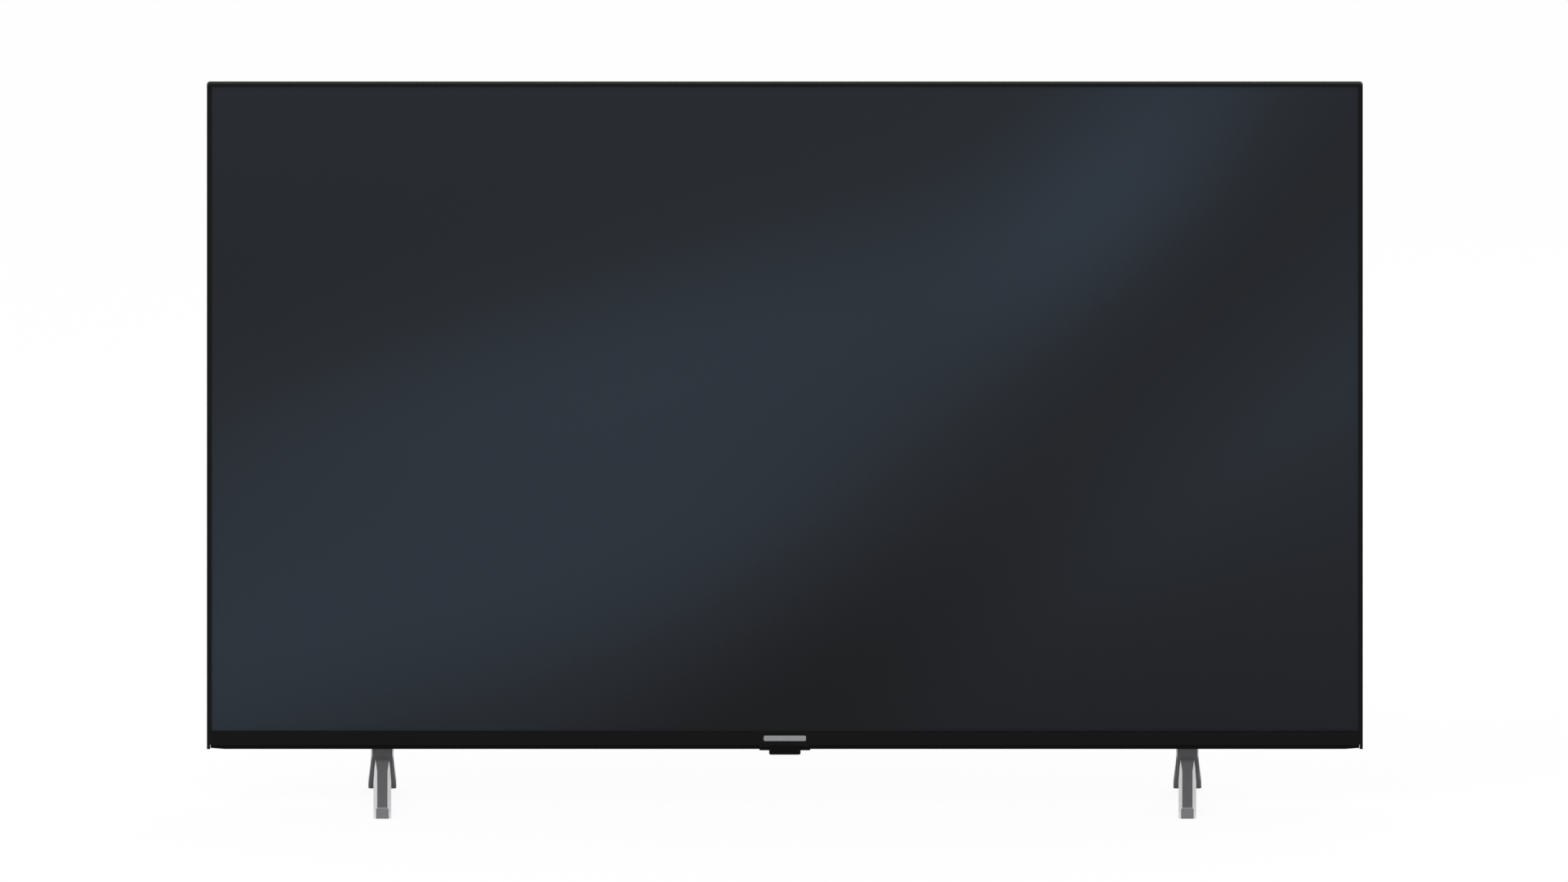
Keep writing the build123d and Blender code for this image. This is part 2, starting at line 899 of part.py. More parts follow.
with BuildPart() as rear_cover:
    add(cover_form(0))
    fillet(rear_cover.faces().sort_by(Axis.Y)[-1].edges(), bulge_round)
    corner_edges = rear_cover.edges().filter_by(
        lambda edge: abs(edge.center().X) > bulge_half_width and edge.center().Z > body_top - cover_slope_inset
    )
    fillet(corner_edges, corner_round)
    port_bays(0)
    add(cover_cavity.part, mode=Mode.SUBTRACT)
    with BuildSketch(upright(bulge_back + overrun)):
        with Locations((0, vent_middle)):
            with GridLocations(vent_pitch, vent_row_pitch, vent_count, vent_rows):
                Rectangle(vent_width, vent_length)
        with Locations(*insert_places):
            Circle(insert_window_radius)
    extrude(amount=cover_wall + 2 * overrun, mode=Mode.SUBTRACT)
    for middle in speaker_middles:
        with BuildSketch(Plane.XY.offset(body_bottom)):
            with Locations((middle, driver_y)):
                with GridLocations(speaker_slot_pitch, 0, speaker_slot_count, 1):
                    Rectangle(speaker_slot_width, speaker_slot_length)
        extrude(amount=speaker_low - body_bottom, mode=Mode.SUBTRACT)
    for x, z in cover_screw_places():
        rod((x, tray_back + slide_fit, z), (0, 1, 0), screw_boss_radius, cover_inside - tray_back)
        rod((x, screw_seat, z), (0, 1, 0), screw_head_radius + fit, bulge_depth, mode=Mode.SUBTRACT)
        rod((x, tray_inside, z), (0, 1, 0), screw_shank_radius + fit, bulge_depth, mode=Mode.SUBTRACT)
    for middle in usb_places:
        side_window(middle, usb_wide, usb_tall)
    for middle in hdmi_places:
        side_window(middle, hdmi_wide, hdmi_tall)
    side_window(card_place, card_wide, card_tall)
    for middle in aerial_places:
        rod((middle, aerial_y, down_bay_face - overrun), (0, 0, 1), aerial_radius + port_clearance,
            cover_wall + 2 * overrun, mode=Mode.SUBTRACT)
    down_window(lan_place, lan_wide, lan_tall)
    down_window(optical_place, optical_wide, optical_tall)
    down_window(headphone_place, headphone_body, headphone_body)
    half = inlet_wide / 2 + port_clearance
    block(
        (mains_bay_face - overrun, board_back - port_clearance, inlet_place - half),
        (mains_bay_face + cover_wall + overrun, board_back + inlet_tall + port_clearance, inlet_place + half),
        mode=Mode.SUBTRACT,
    )
    for side in (-1, 1):
        middle = side * foot_spacing / 2
        half_slot = foot_tongue_width / 2 + fit
        block(
            (middle - half_slot, tongue_front - fit, rim_top - overrun),
            (middle + half_slot, tongue_front + foot_tongue_depth + fit, rim_top + cover_wall + fit),
            mode=Mode.SUBTRACT,
        )
        for height in foot_screw_heights:
            rod((middle, tongue_front, height), (0, 1, 0), foot_screw_head_radius + fit, foot_depth,
                mode=Mode.SUBTRACT)
save(rear_cover, "rear_cover")

with BuildPart() as rear_cover_screws:
    for x, z in cover_screw_places():
        rod((x, screw_seat, z), (0, 1, 0), screw_head_radius, screw_head_height)
        rod((x, screw_seat, z), (0, -1, 0), screw_shank_radius, screw_reach)
        rod((x, thin_back, z), (0, -1, 0), screw_slot_radius, screw_slot_depth, mode=Mode.SUBTRACT)
save(rear_cover_screws, "rear_cover_screws")

# Wall mounting inserts: threaded steel pillars riveted to the tray, flush with the cover's back
insert_end = bulge_back - insert_recess
with BuildPart() as mounting_inserts:
    for x, z in insert_places:
        rod((x, tray_back, z), (0, 1, 0), insert_flange_radius, insert_flange_thickness)
        rod((x, tray_back, z), (0, 1, 0), insert_radius, insert_end - tray_back)
        rod((x, insert_end, z), (0, -1, 0), insert_bore_radius, insert_bore_depth, mode=Mode.SUBTRACT)
save(mounting_inserts, "mounting_inserts")


# Circuit boards: the power board and the main board, on the tray's standoffs
with BuildPart() as circuit_boards:
    for left, right in ((power_board_left, power_board_right), (main_board_left, main_board_right)):
        block((left, board_front, board_low), (right, board_back, board_high))
    for x, z in board_corners:
        rod((x, board_front, z), (0, 1, 0), board_screw_radius + fit, board_thickness, mode=Mode.SUBTRACT)
save(circuit_boards, "circuit_boards")

with BuildPart() as board_screws:
    for x, z in board_corners:
        rod((x, board_back, z), (0, 1, 0), board_screw_head_radius, board_screw_head_height)
        rod((x, board_back, z), (0, -1, 0), board_screw_radius - slide_fit, board_standoff)
save(board_screws, "board_screws")

power_width = power_board_right - power_board_left
board_height = board_high - board_low


def power_point(across_share, up_share):
    """Point on the back of the power board, as shares of its width and height."""
    return (power_board_left + across_share * power_width, board_back, board_low + up_share * board_height)


# Transformers: a ferrite core round a wider bobbin
transformer_shares = ((0.22, 0.80), (0.50, 0.84), (0.76, 0.84))
core_depth_share = 0.8
with BuildPart() as transformers:
    for (wide, deep, tall), (across_share, up_share) in zip(transformer_sizes, transformer_shares):
        x, y, z = power_point(across_share, up_share)
        core_back = y + deep * core_depth_share
        block((x - wide / 2, y, z - tall / 4), (x + wide / 2, core_back, z + tall / 4))
        block((x - wide / 3, y, z - tall / 2), (x + wide / 3, y + deep, z + tall / 2))
save(transformers, "transformers")

# Electrolytic capacitors, standing on the board
capacitor_row_share = 0.12
capacitor_end_places = 1.5
with BuildPart() as capacitors:
    for number in range(capacitor_count):
        across_share = (number + capacitor_end_places) / (capacitor_count + capacitor_end_places)
        x, y, z = power_point(across_share, capacitor_row_share)
        rod((x, y, z), (0, 1, 0), capacitor_radius, capacitor_height)
    fillet(capacitors.faces().filter_by(Axis.Y).group_by(Axis.Y)[-1].edges(), capacitor_radius / 8)
save(capacitors, "capacitors")

# Finned heatsinks: two upright ones on the power board and a low one on the processor
sink_shares = ((0.36, 0.48), (0.78, 0.48))
chip_sink_share = (0.50, 0.62)
main_width = main_board_right - main_board_left
sink_x = main_board_left + chip_sink_share[0] * main_width
sink_z = board_low + chip_sink_share[1] * board_height
chip_back = board_back + chip_height


def fins(left, length, count):
    """Left edges of evenly spaced fins over a length."""
    return [left + number * (length - sink_fin_thickness) / (count - 1) for number in range(count)]


with BuildPart() as heatsinks:
    for across_share, up_share in sink_shares:
        x, y, z = power_point(across_share, up_share)
        left = x - sink_length / 2
        right = left + sink_length
        top = y + sink_height
        half = sink_fin_thickness / 2
        block((left, y, z - half), (right, top, z + half))
        for fin in fins(left, sink_length, sink_fins):
            block((fin, y, z - sink_depth / 2), (fin + sink_fin_thickness, top, z + sink_depth / 2))
    left = sink_x - chip_sink_size / 2
    low = sink_z - chip_sink_size / 2
    right = left + chip_sink_size
    high = low + chip_sink_size
    block((left, chip_back, low), (right, chip_back + chip_sink_height / 4, high))
    for fin in fins(left, chip_sink_size, chip_sink_fins):
        block((fin, chip_back, low), (fin + sink_fin_thickness, chip_back + chip_sink_height, high))
save(heatsinks, "heatsinks")

# Processor and memory chips on the main board, and the tuner in its tin can
chip_offset = chip_sink_size / 2 + chip_size
chip_half = chip_size / 2
chip_places = (
    (sink_x, sink_z),
    (sink_x - chip_offset, sink_z),
    (sink_x - chip_offset, sink_z + 3 * chip_half),
    (sink_x, sink_z + chip_offset),
)
with BuildPart() as board_chips:
    for x, z in chip_places:
        block((x - chip_half, board_back, z - chip_half), (x + chip_half, chip_back, z + chip_half))
save(board_chips, "board_chips")

tuner_low = board_low + aerial_depth
tuner_left = sum(aerial_places) / 2 - tuner_width / 3
with BuildPart() as tuner_can:
    block((tuner_left, board_back, tuner_low),
          (tuner_left + tuner_width, board_back + tuner_depth, tuner_low + tuner_height))
    fillet(tuner_can.edges().filter_by(Axis.Y), lan_shell)
save(tuner_can, "tuner_can")


# Sockets: a shell open at the mouth, with a contact tongue where the real one has it
def side_socket(middle, wide, tall, depth, shell, tongue):
    """Shell that opens to the side, standing on the board's back."""
    mouth = side_bay_face - port_mouth_recess
    block((mouth - depth, board_back, middle - wide / 2), (mouth, board_back + tall, middle + wide / 2))
    block((mouth - depth + shell, board_back + shell, middle - wide / 2 + shell),
          (mouth + overrun, board_back + tall - shell, middle + wide / 2 - shell), mode=Mode.SUBTRACT)
    if tongue:
        block((mouth - depth, board_back + (tall - tongue) / 2, middle - wide / 3),
              (mouth - shell, board_back + (tall + tongue) / 2, middle + wide / 3))


def down_socket(middle, wide, tall, depth, shell):
    """Shell that opens downwards, standing on the board's back."""
    mouth = down_bay_face + port_mouth_recess
    block((middle - wide / 2, board_back, mouth), (middle + wide / 2, board_back + tall, mouth + depth))
    block((middle - wide / 2 + shell, board_back + shell, mouth - overrun),
          (middle + wide / 2 - shell, board_back + tall - shell, mouth + depth - shell), mode=Mode.SUBTRACT)


with BuildPart() as side_sockets:
    for middle in usb_places:
        side_socket(middle, usb_wide, usb_tall, usb_depth, socket_shell, socket_tongue_thickness)
    for middle in hdmi_places:
        side_socket(middle, hdmi_wide, hdmi_tall, hdmi_depth, socket_shell, socket_tongue_thickness)
save(side_sockets, "side_sockets")

with BuildPart() as card_slot:
    side_socket(card_place, card_wide, card_tall, card_depth, card_shell, 0)
save(card_slot, "card_slot")

with BuildPart() as lan_port:
    down_socket(lan_place, lan_wide, lan_tall, lan_depth, lan_shell)
save(lan_port, "lan_port")

down_mouth = down_bay_face + port_mouth_recess
with BuildPart() as audio_sockets:
    down_socket(optical_place, optical_wide, optical_tall, optical_depth, optical_shell)
    half = headphone_body / 2
    headphone_end = down_mouth + headphone_depth + fit
    block((headphone_place - half, board_back, down_mouth),
          (headphone_place + half, board_back + headphone_body, headphone_end))
    rod((headphone_place, headphone_y, down_mouth), (0, 0, 1), headphone_radius, headphone_depth,
        mode=Mode.SUBTRACT)
save(audio_sockets, "audio_sockets")

with BuildPart() as aerial_sockets:
    for middle in aerial_places:
        start = (middle, aerial_y, down_mouth)
        rod(start, (0, 0, 1), aerial_radius, aerial_depth)
        rod(start, (0, 0, 1), aerial_radius - aerial_wall, aerial_depth - aerial_wall, mode=Mode.SUBTRACT)
        rod(start, (0, 0, 1), aerial_pin_radius, aerial_depth)
save(aerial_sockets, "aerial_sockets")

# Mains inlet: a two-pin inlet with its mouth in the mains bay
inlet_mouth = mains_bay_face + port_mouth_recess
inlet_y = board_back + inlet_tall / 2
with BuildPart() as mains_inlet:
    block((inlet_mouth, board_back, inlet_place - inlet_wide / 2),
          (inlet_mouth + inlet_depth, board_back + inlet_tall, inlet_place + inlet_wide / 2))
    with BuildSketch(Plane.YZ.offset(inlet_mouth)):
        with Locations((inlet_y, inlet_place)):
            SlotOverall(inlet_mouth_wide, inlet_mouth_tall, rotation=90)
    extrude(amount=inlet_mouth_depth, mode=Mode.SUBTRACT)
save(mains_inlet, "mains_inlet")

inlet_floor = inlet_mouth + inlet_mouth_depth
with BuildPart() as inlet_pins:
    for side in (-1, 1):
        rod((inlet_floor, inlet_y, inlet_place + side * inlet_pin_pitch / 2), (-1, 0, 0), inlet_pin_radius,
            inlet_pin_length)
save(inlet_pins, "inlet_pins")

# Wireless module on the tray, beside the main board
wireless_left = main_board_left - wireless_width - vesa_pitch
wireless_right = wireless_left + wireless_width
wireless_back = tray_back + wireless_thickness
wireless_edge = wireless_left + wireless_width * 5 / 8
with BuildPart() as wireless_module:
    block((wireless_left, tray_back, board_high),
          (wireless_right, wireless_back, board_high + wireless_height))
    block((wireless_left + wireless_width / 8, wireless_back, board_high + wireless_height / 8),
          (wireless_edge, wireless_back + wireless_can_height, board_high + wireless_height * 7 / 8))
save(wireless_module, "wireless_module")


# Speakers: a box that opens downwards, a driver frame with its magnet, and a cone on its surround
speaker_top = speaker_low + speaker_box_height
speaker_box_back = speaker_box_front + speaker_box_depth
cone_low = speaker_low + cone_rise
neck_low = cone_low + cone_height
magnet_low = neck_low + coil_height - magnet_gap_depth + cone_travel + fit


def cone_outline():
    """Half section of cone and coil, about the driver's axis."""
    Polyline(
        (cone_radius, cone_low),
        (coil_radius, neck_low),
        (coil_radius, neck_low + coil_height),
        (coil_radius - coil_thickness, neck_low + coil_height),
        (coil_radius - coil_thickness, neck_low),
        (0, neck_low),
        (0, neck_low - cone_thickness),
        (coil_radius - coil_thickness, neck_low - cone_thickness),
        (cone_radius - cone_thickness, cone_low),
        close=True,
    )


def speaker_cone(middle):
    """Cone, dust cap and coil in one turned piece."""
    with BuildPart() as cone:
        with BuildSketch(Plane(origin=(middle, driver_y, 0), x_dir=(1, 0, 0), z_dir=(0, -1, 0))):
            with BuildLine():
                cone_outline()
            make_face()
        revolve(axis=Axis((middle, driver_y, 0), (0, 0, 1)))
    return cone


def speaker_surround(middle):
    """Rubber roll between the cone's rim and the driver frame."""
    outer = driver_radius - driver_wall - slide_fit
    inner = cone_radius + slide_fit
    crest = (outer + inner) / 2
    outer_low = speaker_low
    with BuildPart() as surround:
        with BuildSketch(Plane(origin=(middle, driver_y, 0), x_dir=(1, 0, 0), z_dir=(0, -1, 0))):
            with BuildLine():
                Polyline(
                    (outer, outer_low),
                    (outer, outer_low + surround_thickness),
                    (crest, outer_low + surround_thickness + surround_rise),
                    (inner, cone_low + surround_thickness),
                    (inner, cone_low),
                    (crest, outer_low + surround_rise),
                    close=True,
                )
            make_face()
        revolve(axis=Axis((middle, driver_y, 0), (0, 0, 1)))
    return surround


box_half = (speaker_right_edge - speaker_left_edge) / 2
with BuildPart() as speaker_boxes:
    for middle in speaker_middles:
        block((middle - box_half, speaker_box_front, speaker_low),
              (middle + box_half, speaker_box_back, speaker_top))
    fillet(speaker_boxes.edges().filter_by(Axis.Z), 2 * speaker_wall)
    for middle in speaker_middles:
        inside_half = box_half - speaker_wall
        block(
            (middle - inside_half, speaker_box_front + speaker_wall, speaker_low + speaker_wall),
            (middle + inside_half, speaker_box_back - speaker_wall, speaker_top - speaker_wall),
            mode=Mode.SUBTRACT,
        )
        rod((middle, driver_y, speaker_low - overrun), (0, 0, 1), driver_radius + fit,
            speaker_wall + 2 * overrun, mode=Mode.SUBTRACT)
save(speaker_boxes, "speaker_boxes")

for middle, side_name in zip(speaker_middles, ("left", "right")):
    save(speaker_cone(middle), f"speaker_cone_{side_name}")
    save(speaker_surround(middle), f"speaker_surround_{side_name}")

with BuildPart() as speaker_frames:
    for middle in speaker_middles:
        flange_low = speaker_low - driver_flange_thickness
        rod((middle, driver_y, flange_low), (0, 0, 1), driver_flange_radius, driver_flange_thickness)
        rod((middle, driver_y, flange_low), (0, 0, 1), driver_radius, driver_flange_thickness + driver_height)
        rod((middle, driver_y, flange_low - overrun), (0, 0, 1), driver_radius - driver_wall,
            driver_flange_thickness + driver_height - driver_wall + overrun, mode=Mode.SUBTRACT)
        rod((middle, driver_y, speaker_low), (0, 0, 1), magnet_radius, driver_height + overrun,
            mode=Mode.SUBTRACT)
save(speaker_frames, "speaker_frames")

pole_radius = coil_radius - coil_thickness - coil_gap
with BuildPart() as speaker_magnets:
    for middle in speaker_middles:
        start = (middle, driver_y, magnet_low)
        rod(start, (0, 0, 1), magnet_radius, magnet_height)
        rod(start, (0, 0, 1), coil_radius + coil_gap, magnet_gap_depth, mode=Mode.SUBTRACT)
        rod(start, (0, 0, 1), pole_radius, magnet_gap_depth)
save(speaker_magnets, "speaker_magnets")

# Receiver tab: a dark window flush with the chin, with its housing behind it under the rail
with BuildPart() as receiver_tab:
    block(
        (-tab_width / 2, front, chin_bottom - tab_height),
        (tab_width / 2, front + tab_thickness, chin_bottom),
    )
    fillet(receiver_tab.edges().filter_by(Axis.Y).group_by(Axis.Z)[0], tab_round)
save(receiver_tab, "receiver_tab")

flange_front = front + tab_thickness
flange_low = body_bottom - flange_drop
with BuildPart() as receiver_housing:
    block(
        (-flange_width / 2, flange_front, flange_low),
        (flange_width / 2, flange_front + flange_depth, body_bottom),
    )
    fillet(receiver_housing.edges().filter_by(Axis.Z), flange_round)
    fillet(receiver_housing.edges().filter_by(Axis.Y).group_by(Axis.Z)[0], flange_drop / 2)
    rod((0, stick_y, flange_low - overrun), (0, 0, 1), stick_window_radius, flange_drop + 2 * overrun,
        mode=Mode.SUBTRACT)
save(receiver_housing, "receiver_housing")

# Receiver eye and standby lamp, on a small board that hangs behind the tab
receiver_front = flange_front + receiver_depth + slide_fit
receiver_middle = flange_low - receiver_board_height / 2
with BuildPart() as receiver_lamps:
    rod((0, receiver_front, receiver_middle), (0, -1, 0), receiver_radius, receiver_depth)
    block(
        (lamp_place - lamp_width / 2, receiver_front - receiver_depth, receiver_middle - lamp_width / 2),
        (lamp_place + lamp_width / 2, receiver_front, receiver_middle + lamp_width / 2),
    )
save(receiver_lamps, "receiver_lamps")

# Joystick key: a switch can on the rail, a gimbal ring, a shaft and a round cap that also presses in
stick_pivot = body_bottom + stick_pivot_rise
can_inside = stick_can_half - stick_can_wall
can_top = rim_top + stick_can_height
with BuildPart() as stick_housing:
    block(
        (-stick_can_half, stick_y - stick_can_half, rim_top),
        (stick_can_half, stick_y + stick_can_half, can_top),
    )
    block(
        (-can_inside, stick_y - can_inside, rim_top - overrun),
        (can_inside, stick_y + can_inside, can_top - stick_can_wall),
        mode=Mode.SUBTRACT,
    )
    rod((-half_width, stick_y, stick_pivot), (1, 0, 0), gimbal_pin_radius + pin_fit, body_width,
        mode=Mode.SUBTRACT)
save(stick_housing, "stick_housing")

with BuildPart() as stick_gimbal:
    block(
        (-gimbal_outer, stick_y - gimbal_outer, stick_pivot - gimbal_height / 2),
        (gimbal_outer, stick_y + gimbal_outer, stick_pivot + gimbal_height / 2),
    )
    block(
        (-gimbal_inner, stick_y - gimbal_inner, stick_pivot - gimbal_height),
        (gimbal_inner, stick_y + gimbal_inner, stick_pivot + gimbal_height),
        mode=Mode.SUBTRACT,
    )
    for side in (-1, 1):
        rod((side * (gimbal_inner + slide_fit), stick_y, stick_pivot), (side, 0, 0), gimbal_pin_radius,
            stick_can_half - gimbal_inner - 2 * slide_fit)
    rod((0, stick_y - gimbal_outer, stick_pivot), (0, 1, 0), gimbal_pin_radius + pin_fit, 2 * gimbal_outer,
        mode=Mode.SUBTRACT)
save(stick_gimbal, "stick_gimbal")

cap_top = body_bottom - stick_cap_drop
cap_low = cap_top - stick_cap_height
shaft_low = cap_low + stick_cap_wall + stick_press + slide_fit
with BuildPart() as stick_shaft:
    rod((0, stick_y, shaft_low), (0, 0, 1), stick_shaft_radius, stick_pivot + stick_shaft_radius - shaft_low)
    rod((0, stick_y - gimbal_outer + slide_fit, stick_pivot), (0, 1, 0), gimbal_pin_radius,
        2 * (gimbal_outer - slide_fit))
save(stick_shaft, "stick_shaft")

with BuildPart() as stick_cap:
    rod((0, stick_y, cap_low), (0, 0, 1), stick_cap_radius, stick_cap_height)
    fillet(stick_cap.edges().group_by(Axis.Z)[0], stick_cap_wall)
    rod((0, stick_y, cap_low + stick_cap_wall), (0, 0, 1), stick_shaft_radius + pin_fit, stick_cap_height,
        mode=Mode.SUBTRACT)
save(stick_cap, "stick_cap")

with BuildPart() as control_boards:
    block(
        (-control_board_width / 2, stick_y - control_board_depth / 2, can_top),
        (control_board_width / 2, stick_y + control_board_depth / 2, can_top + control_board_thickness),
    )
    block(
        (-receiver_board_width / 2, receiver_front, flange_low - receiver_board_height),
        (receiver_board_width / 2, receiver_front + receiver_board_thickness, flange_low),
    )
save(control_boards, "control_boards")


# Feet: an upside-down V of cast metal under a short block, with a tongue that goes up into the body
foot_reach = foot_depth / 2
block_back = foot_block_front + foot_block_depth
block_bottom = body_bottom - foot_block_drop
leg_fall = block_bottom - foot_toe_height
leg_run = foot_reach + foot_block_front
leg_length = hypot(leg_run, leg_fall)
apex_y = foot_block_front + foot_block_depth * foot_apex_share
apex_z = block_bottom - foot_thickness
sole_back = foot_sole - foot_reach
tongue_top = body_bottom + foot_tongue_height
rear_toe_height = foot_toe_height - foot_chamfer
pad_place = foot_reach - pad_setback - pad_length / 2

# Plan of the front leg: half widths at places from the toe back to the neck, where it meets the block
front_plan = (
    (foot_front_width / 2, -foot_reach),
    (foot_front_width / 2, foot_block_front - foot_shoulder_end),
    (foot_shoulder_width / 2, foot_block_front - foot_shoulder_reach),
    (foot_neck_width / 2, foot_block_front),
)

with BuildPart() as foot_shape:
    # Side outline, as wide as the rear leg
    with BuildSketch(Plane.YZ.offset(-foot_rear_width / 2)):
        with BuildLine():
            Polyline(
                (foot_block_front, body_bottom),
                (foot_block_front, block_bottom),
                (-foot_reach, foot_toe_height),
                (-foot_reach, foot_ground_gap),
                (sole_back, foot_ground_gap),
                (apex_y, apex_z),
                (foot_reach - foot_sole, foot_ground_gap),
                (foot_reach, foot_ground_gap),
                (foot_reach, rear_toe_height),
                (block_back, block_bottom),
                (block_back, body_bottom),
                close=True,
            )
        make_face()
    extrude(amount=foot_rear_width)
    # Plan: a narrow front leg, the block, and a rear leg that widens
    with BuildSketch(Plane.XY):
        with BuildLine():
            Polyline(
                *front_plan,
                (foot_block_width / 2, foot_block_front),
                (foot_block_width / 2, block_back),
                (foot_rear_width / 2, foot_reach),
                (-foot_rear_width / 2, foot_reach),
                (-foot_block_width / 2, block_back),
                (-foot_block_width / 2, foot_block_front),
                *[(-half, y) for half, y in reversed(front_plan)],
                close=True,
            )
        make_face()
    extrude(amount=body_bottom, mode=Mode.INTERSECT)
    # Softened toes, block corners and rear leg
    upright_edges = foot_shape.edges().filter_by(Axis.Z)
    toe_corners = upright_edges.filter_by(lambda edge: abs(edge.center().Y) > foot_reach - slide_fit)
    chamfer(toe_corners, (foot_front_width - foot_toe_width) / 2)
    upright_edges = foot_shape.edges().filter_by(Axis.Z)
    block_corners = upright_edges.filter_by(
        lambda edge: abs(edge.center().X) > foot_front_width / 2 + slide_fit
        and abs(edge.center().Y - foot_block_front) < slide_fit
    )
    chamfer(block_corners, foot_edge_chamfer)
    rear_edges = foot_shape.edges().filter_by(
        lambda edge: edge.center().Y > block_back and edge.length > foot_reach / 2
    )
    chamfer(rear_edges, foot_edge_chamfer)


def leg_plane(distance):
    """Plane across the front leg, at a distance down its top edge from the block."""
    return Plane(
        origin=(
            0,
            foot_block_front - distance * leg_run / leg_length,
            block_bottom - distance * leg_fall / leg_length,
        ),
        x_dir=(1, 0, 0),
        z_dir=(0, -leg_run, -leg_fall),
    )


def flank_cut(side):
    """Sloping flank of the front leg, which starts as a point near the block."""
    neck = foot_neck_width / 2
    clear = foot_front_width / 2 + overrun
    with BuildPart() as cut:
        for share, inner, outer in (
            (foot_runout_start_share, neck - slide_fit, neck),
            (1, foot_front_face / 2, foot_front_width / 2),
        ):
            depth = foot_flank_height * share
            with BuildSketch(leg_plane(foot_runout * share)):
                with BuildLine():
                    Polyline(
                        (side * inner, 0),
                        (side * inner, overrun),
                        (side * clear, overrun),
                        (side * clear, -depth),
                        (side * outer, -depth),
                        close=True,
                    )
                make_face()
        loft(ruled=True)
        extrude(cut.faces().sort_by(Axis.Y)[0], amount=leg_length)
    return cut.part


def foot(middle):
    """One foot, with its flanks, tongue and the threaded holes for its screws."""
    with BuildPart() as body:
        with Locations((middle, 0, 0)):
            add(foot_shape.part)
            for side in (-1, 1):
                add(flank_cut(side), mode=Mode.SUBTRACT)
        for side in (-1, 1):
            pad_middle = side * pad_place
            block(
                (middle - pad_width / 2, pad_middle - pad_length / 2, -overrun),
                (middle + pad_width / 2, pad_middle + pad_length / 2, pad_thickness),
                mode=Mode.SUBTRACT,
            )
        block(
            (middle - foot_tongue_width / 2, tongue_front, body_bottom - overrun),
            (middle + foot_tongue_width / 2, tongue_front + foot_tongue_depth, tongue_top),
        )
        for height in foot_screw_heights:
            rod((middle, tongue_front + foot_tongue_depth, height), (0, -1, 0), foot_screw_radius + slide_fit,
                foot_screw_length, mode=Mode.SUBTRACT)
    return body


for side, side_name in ((-1, "left"), (1, "right")):
    save(foot(side * foot_spacing / 2), f"foot_{side_name}")

with BuildPart() as foot_pads:
    for side in (-1, 1):
        for end in (-1, 1):
            middle = side * foot_spacing / 2
            pad_middle = end * pad_place
            block(
                (middle - pad_width / 2, pad_middle - pad_length / 2, 0),
                (middle + pad_width / 2, pad_middle + pad_length / 2, pad_thickness),
            )
save(foot_pads, "foot_pads")

# Foot brackets: steel sleeves round the tongues, with a plate welded to the tray
plate_front = tongue_front + foot_tongue_depth + fit
plate_back = plate_front + bracket_plate
bracket_low = rim_top + cover_wall + fit
with BuildPart() as foot_brackets:
    for side in (-1, 1):
        middle = side * foot_spacing / 2
        sleeve_half = foot_tongue_width / 2 + fit
        block((middle - bracket_width / 2, plate_front, bracket_low),
              (middle + bracket_width / 2, plate_back, bracket_low + bracket_plate_height))
        block((middle - sleeve_half - bracket_wall, tongue_front - fit - bracket_wall, bracket_low),
              (middle + sleeve_half + bracket_wall, plate_front, tongue_top + fit + bracket_wall))
        block((middle - sleeve_half, tongue_front - fit, bracket_low - overrun),
              (middle + sleeve_half, plate_front, tongue_top + fit), mode=Mode.SUBTRACT)
        for height in foot_screw_heights:
            rod((middle, plate_front - slide_fit, height), (0, 1, 0), foot_screw_radius + slide_fit,
                bracket_plate + 2 * slide_fit, mode=Mode.SUBTRACT)
save(foot_brackets, "foot_brackets")

with BuildPart() as foot_screws:
    for side in (-1, 1):
        x = side * foot_spacing / 2
        head_back = plate_back + foot_screw_head_height
        for z in foot_screw_heights:
            rod((x, plate_back, z), (0, 1, 0), foot_screw_head_radius, foot_screw_head_height)
            rod((x, plate_back, z), (0, -1, 0), foot_screw_radius, foot_screw_length)
            rod((x, head_back, z), (0, -1, 0), screw_slot_radius, screw_slot_depth, mode=Mode.SUBTRACT)
save(foot_screws, "foot_screws")

# Wiring places: heights of the plugs on the boards and depths of the runs behind the tray
plug_y = board_back + plug_size / 2
wire_y = tray_back + wire_lift + harness_radius
speaker_wire_y = tray_back + wire_radius + fit
power_plug_x = power_board_right - plug_size
main_plug_x = main_board_left + plug_size / 2
harness_z = board_low + harness_share * board_height
left_speaker_z = board_low + left_speaker_share * board_height
control_z = board_low + control_share * board_height
wireless_z = board_low + wireless_share * board_height
led_plug_x = power_board_right - 2 * plug_size
led_plug_z = board_high - 2 * plug_size
right_speaker_x = down_bay_right + 3 * plug_size
right_speaker_z = board_low + plug_size
harness_step = plug_size * 3 / 2
harness_in = power_plug_x + plug_size / 2
harness_low_left = harness_in + 2 * harness_step
harness_low_right = main_plug_x - 2 * harness_step
ribbon_y = (tray_back + cover_inside) / 2
ribbon_start_y = board_front - ribbon_plug_depth / 2
ribbon_start_z = board_low + plug_size
source_back = source_front + source_thickness
ribbon_end_z = source_low + source_height / 2


def plug(x, z):
    """Square plug on the back of a board, from its left edge at a height."""
    block((x, board_back, z - plug_size / 2), (x + plug_size, board_back + plug_size, z + plug_size / 2))


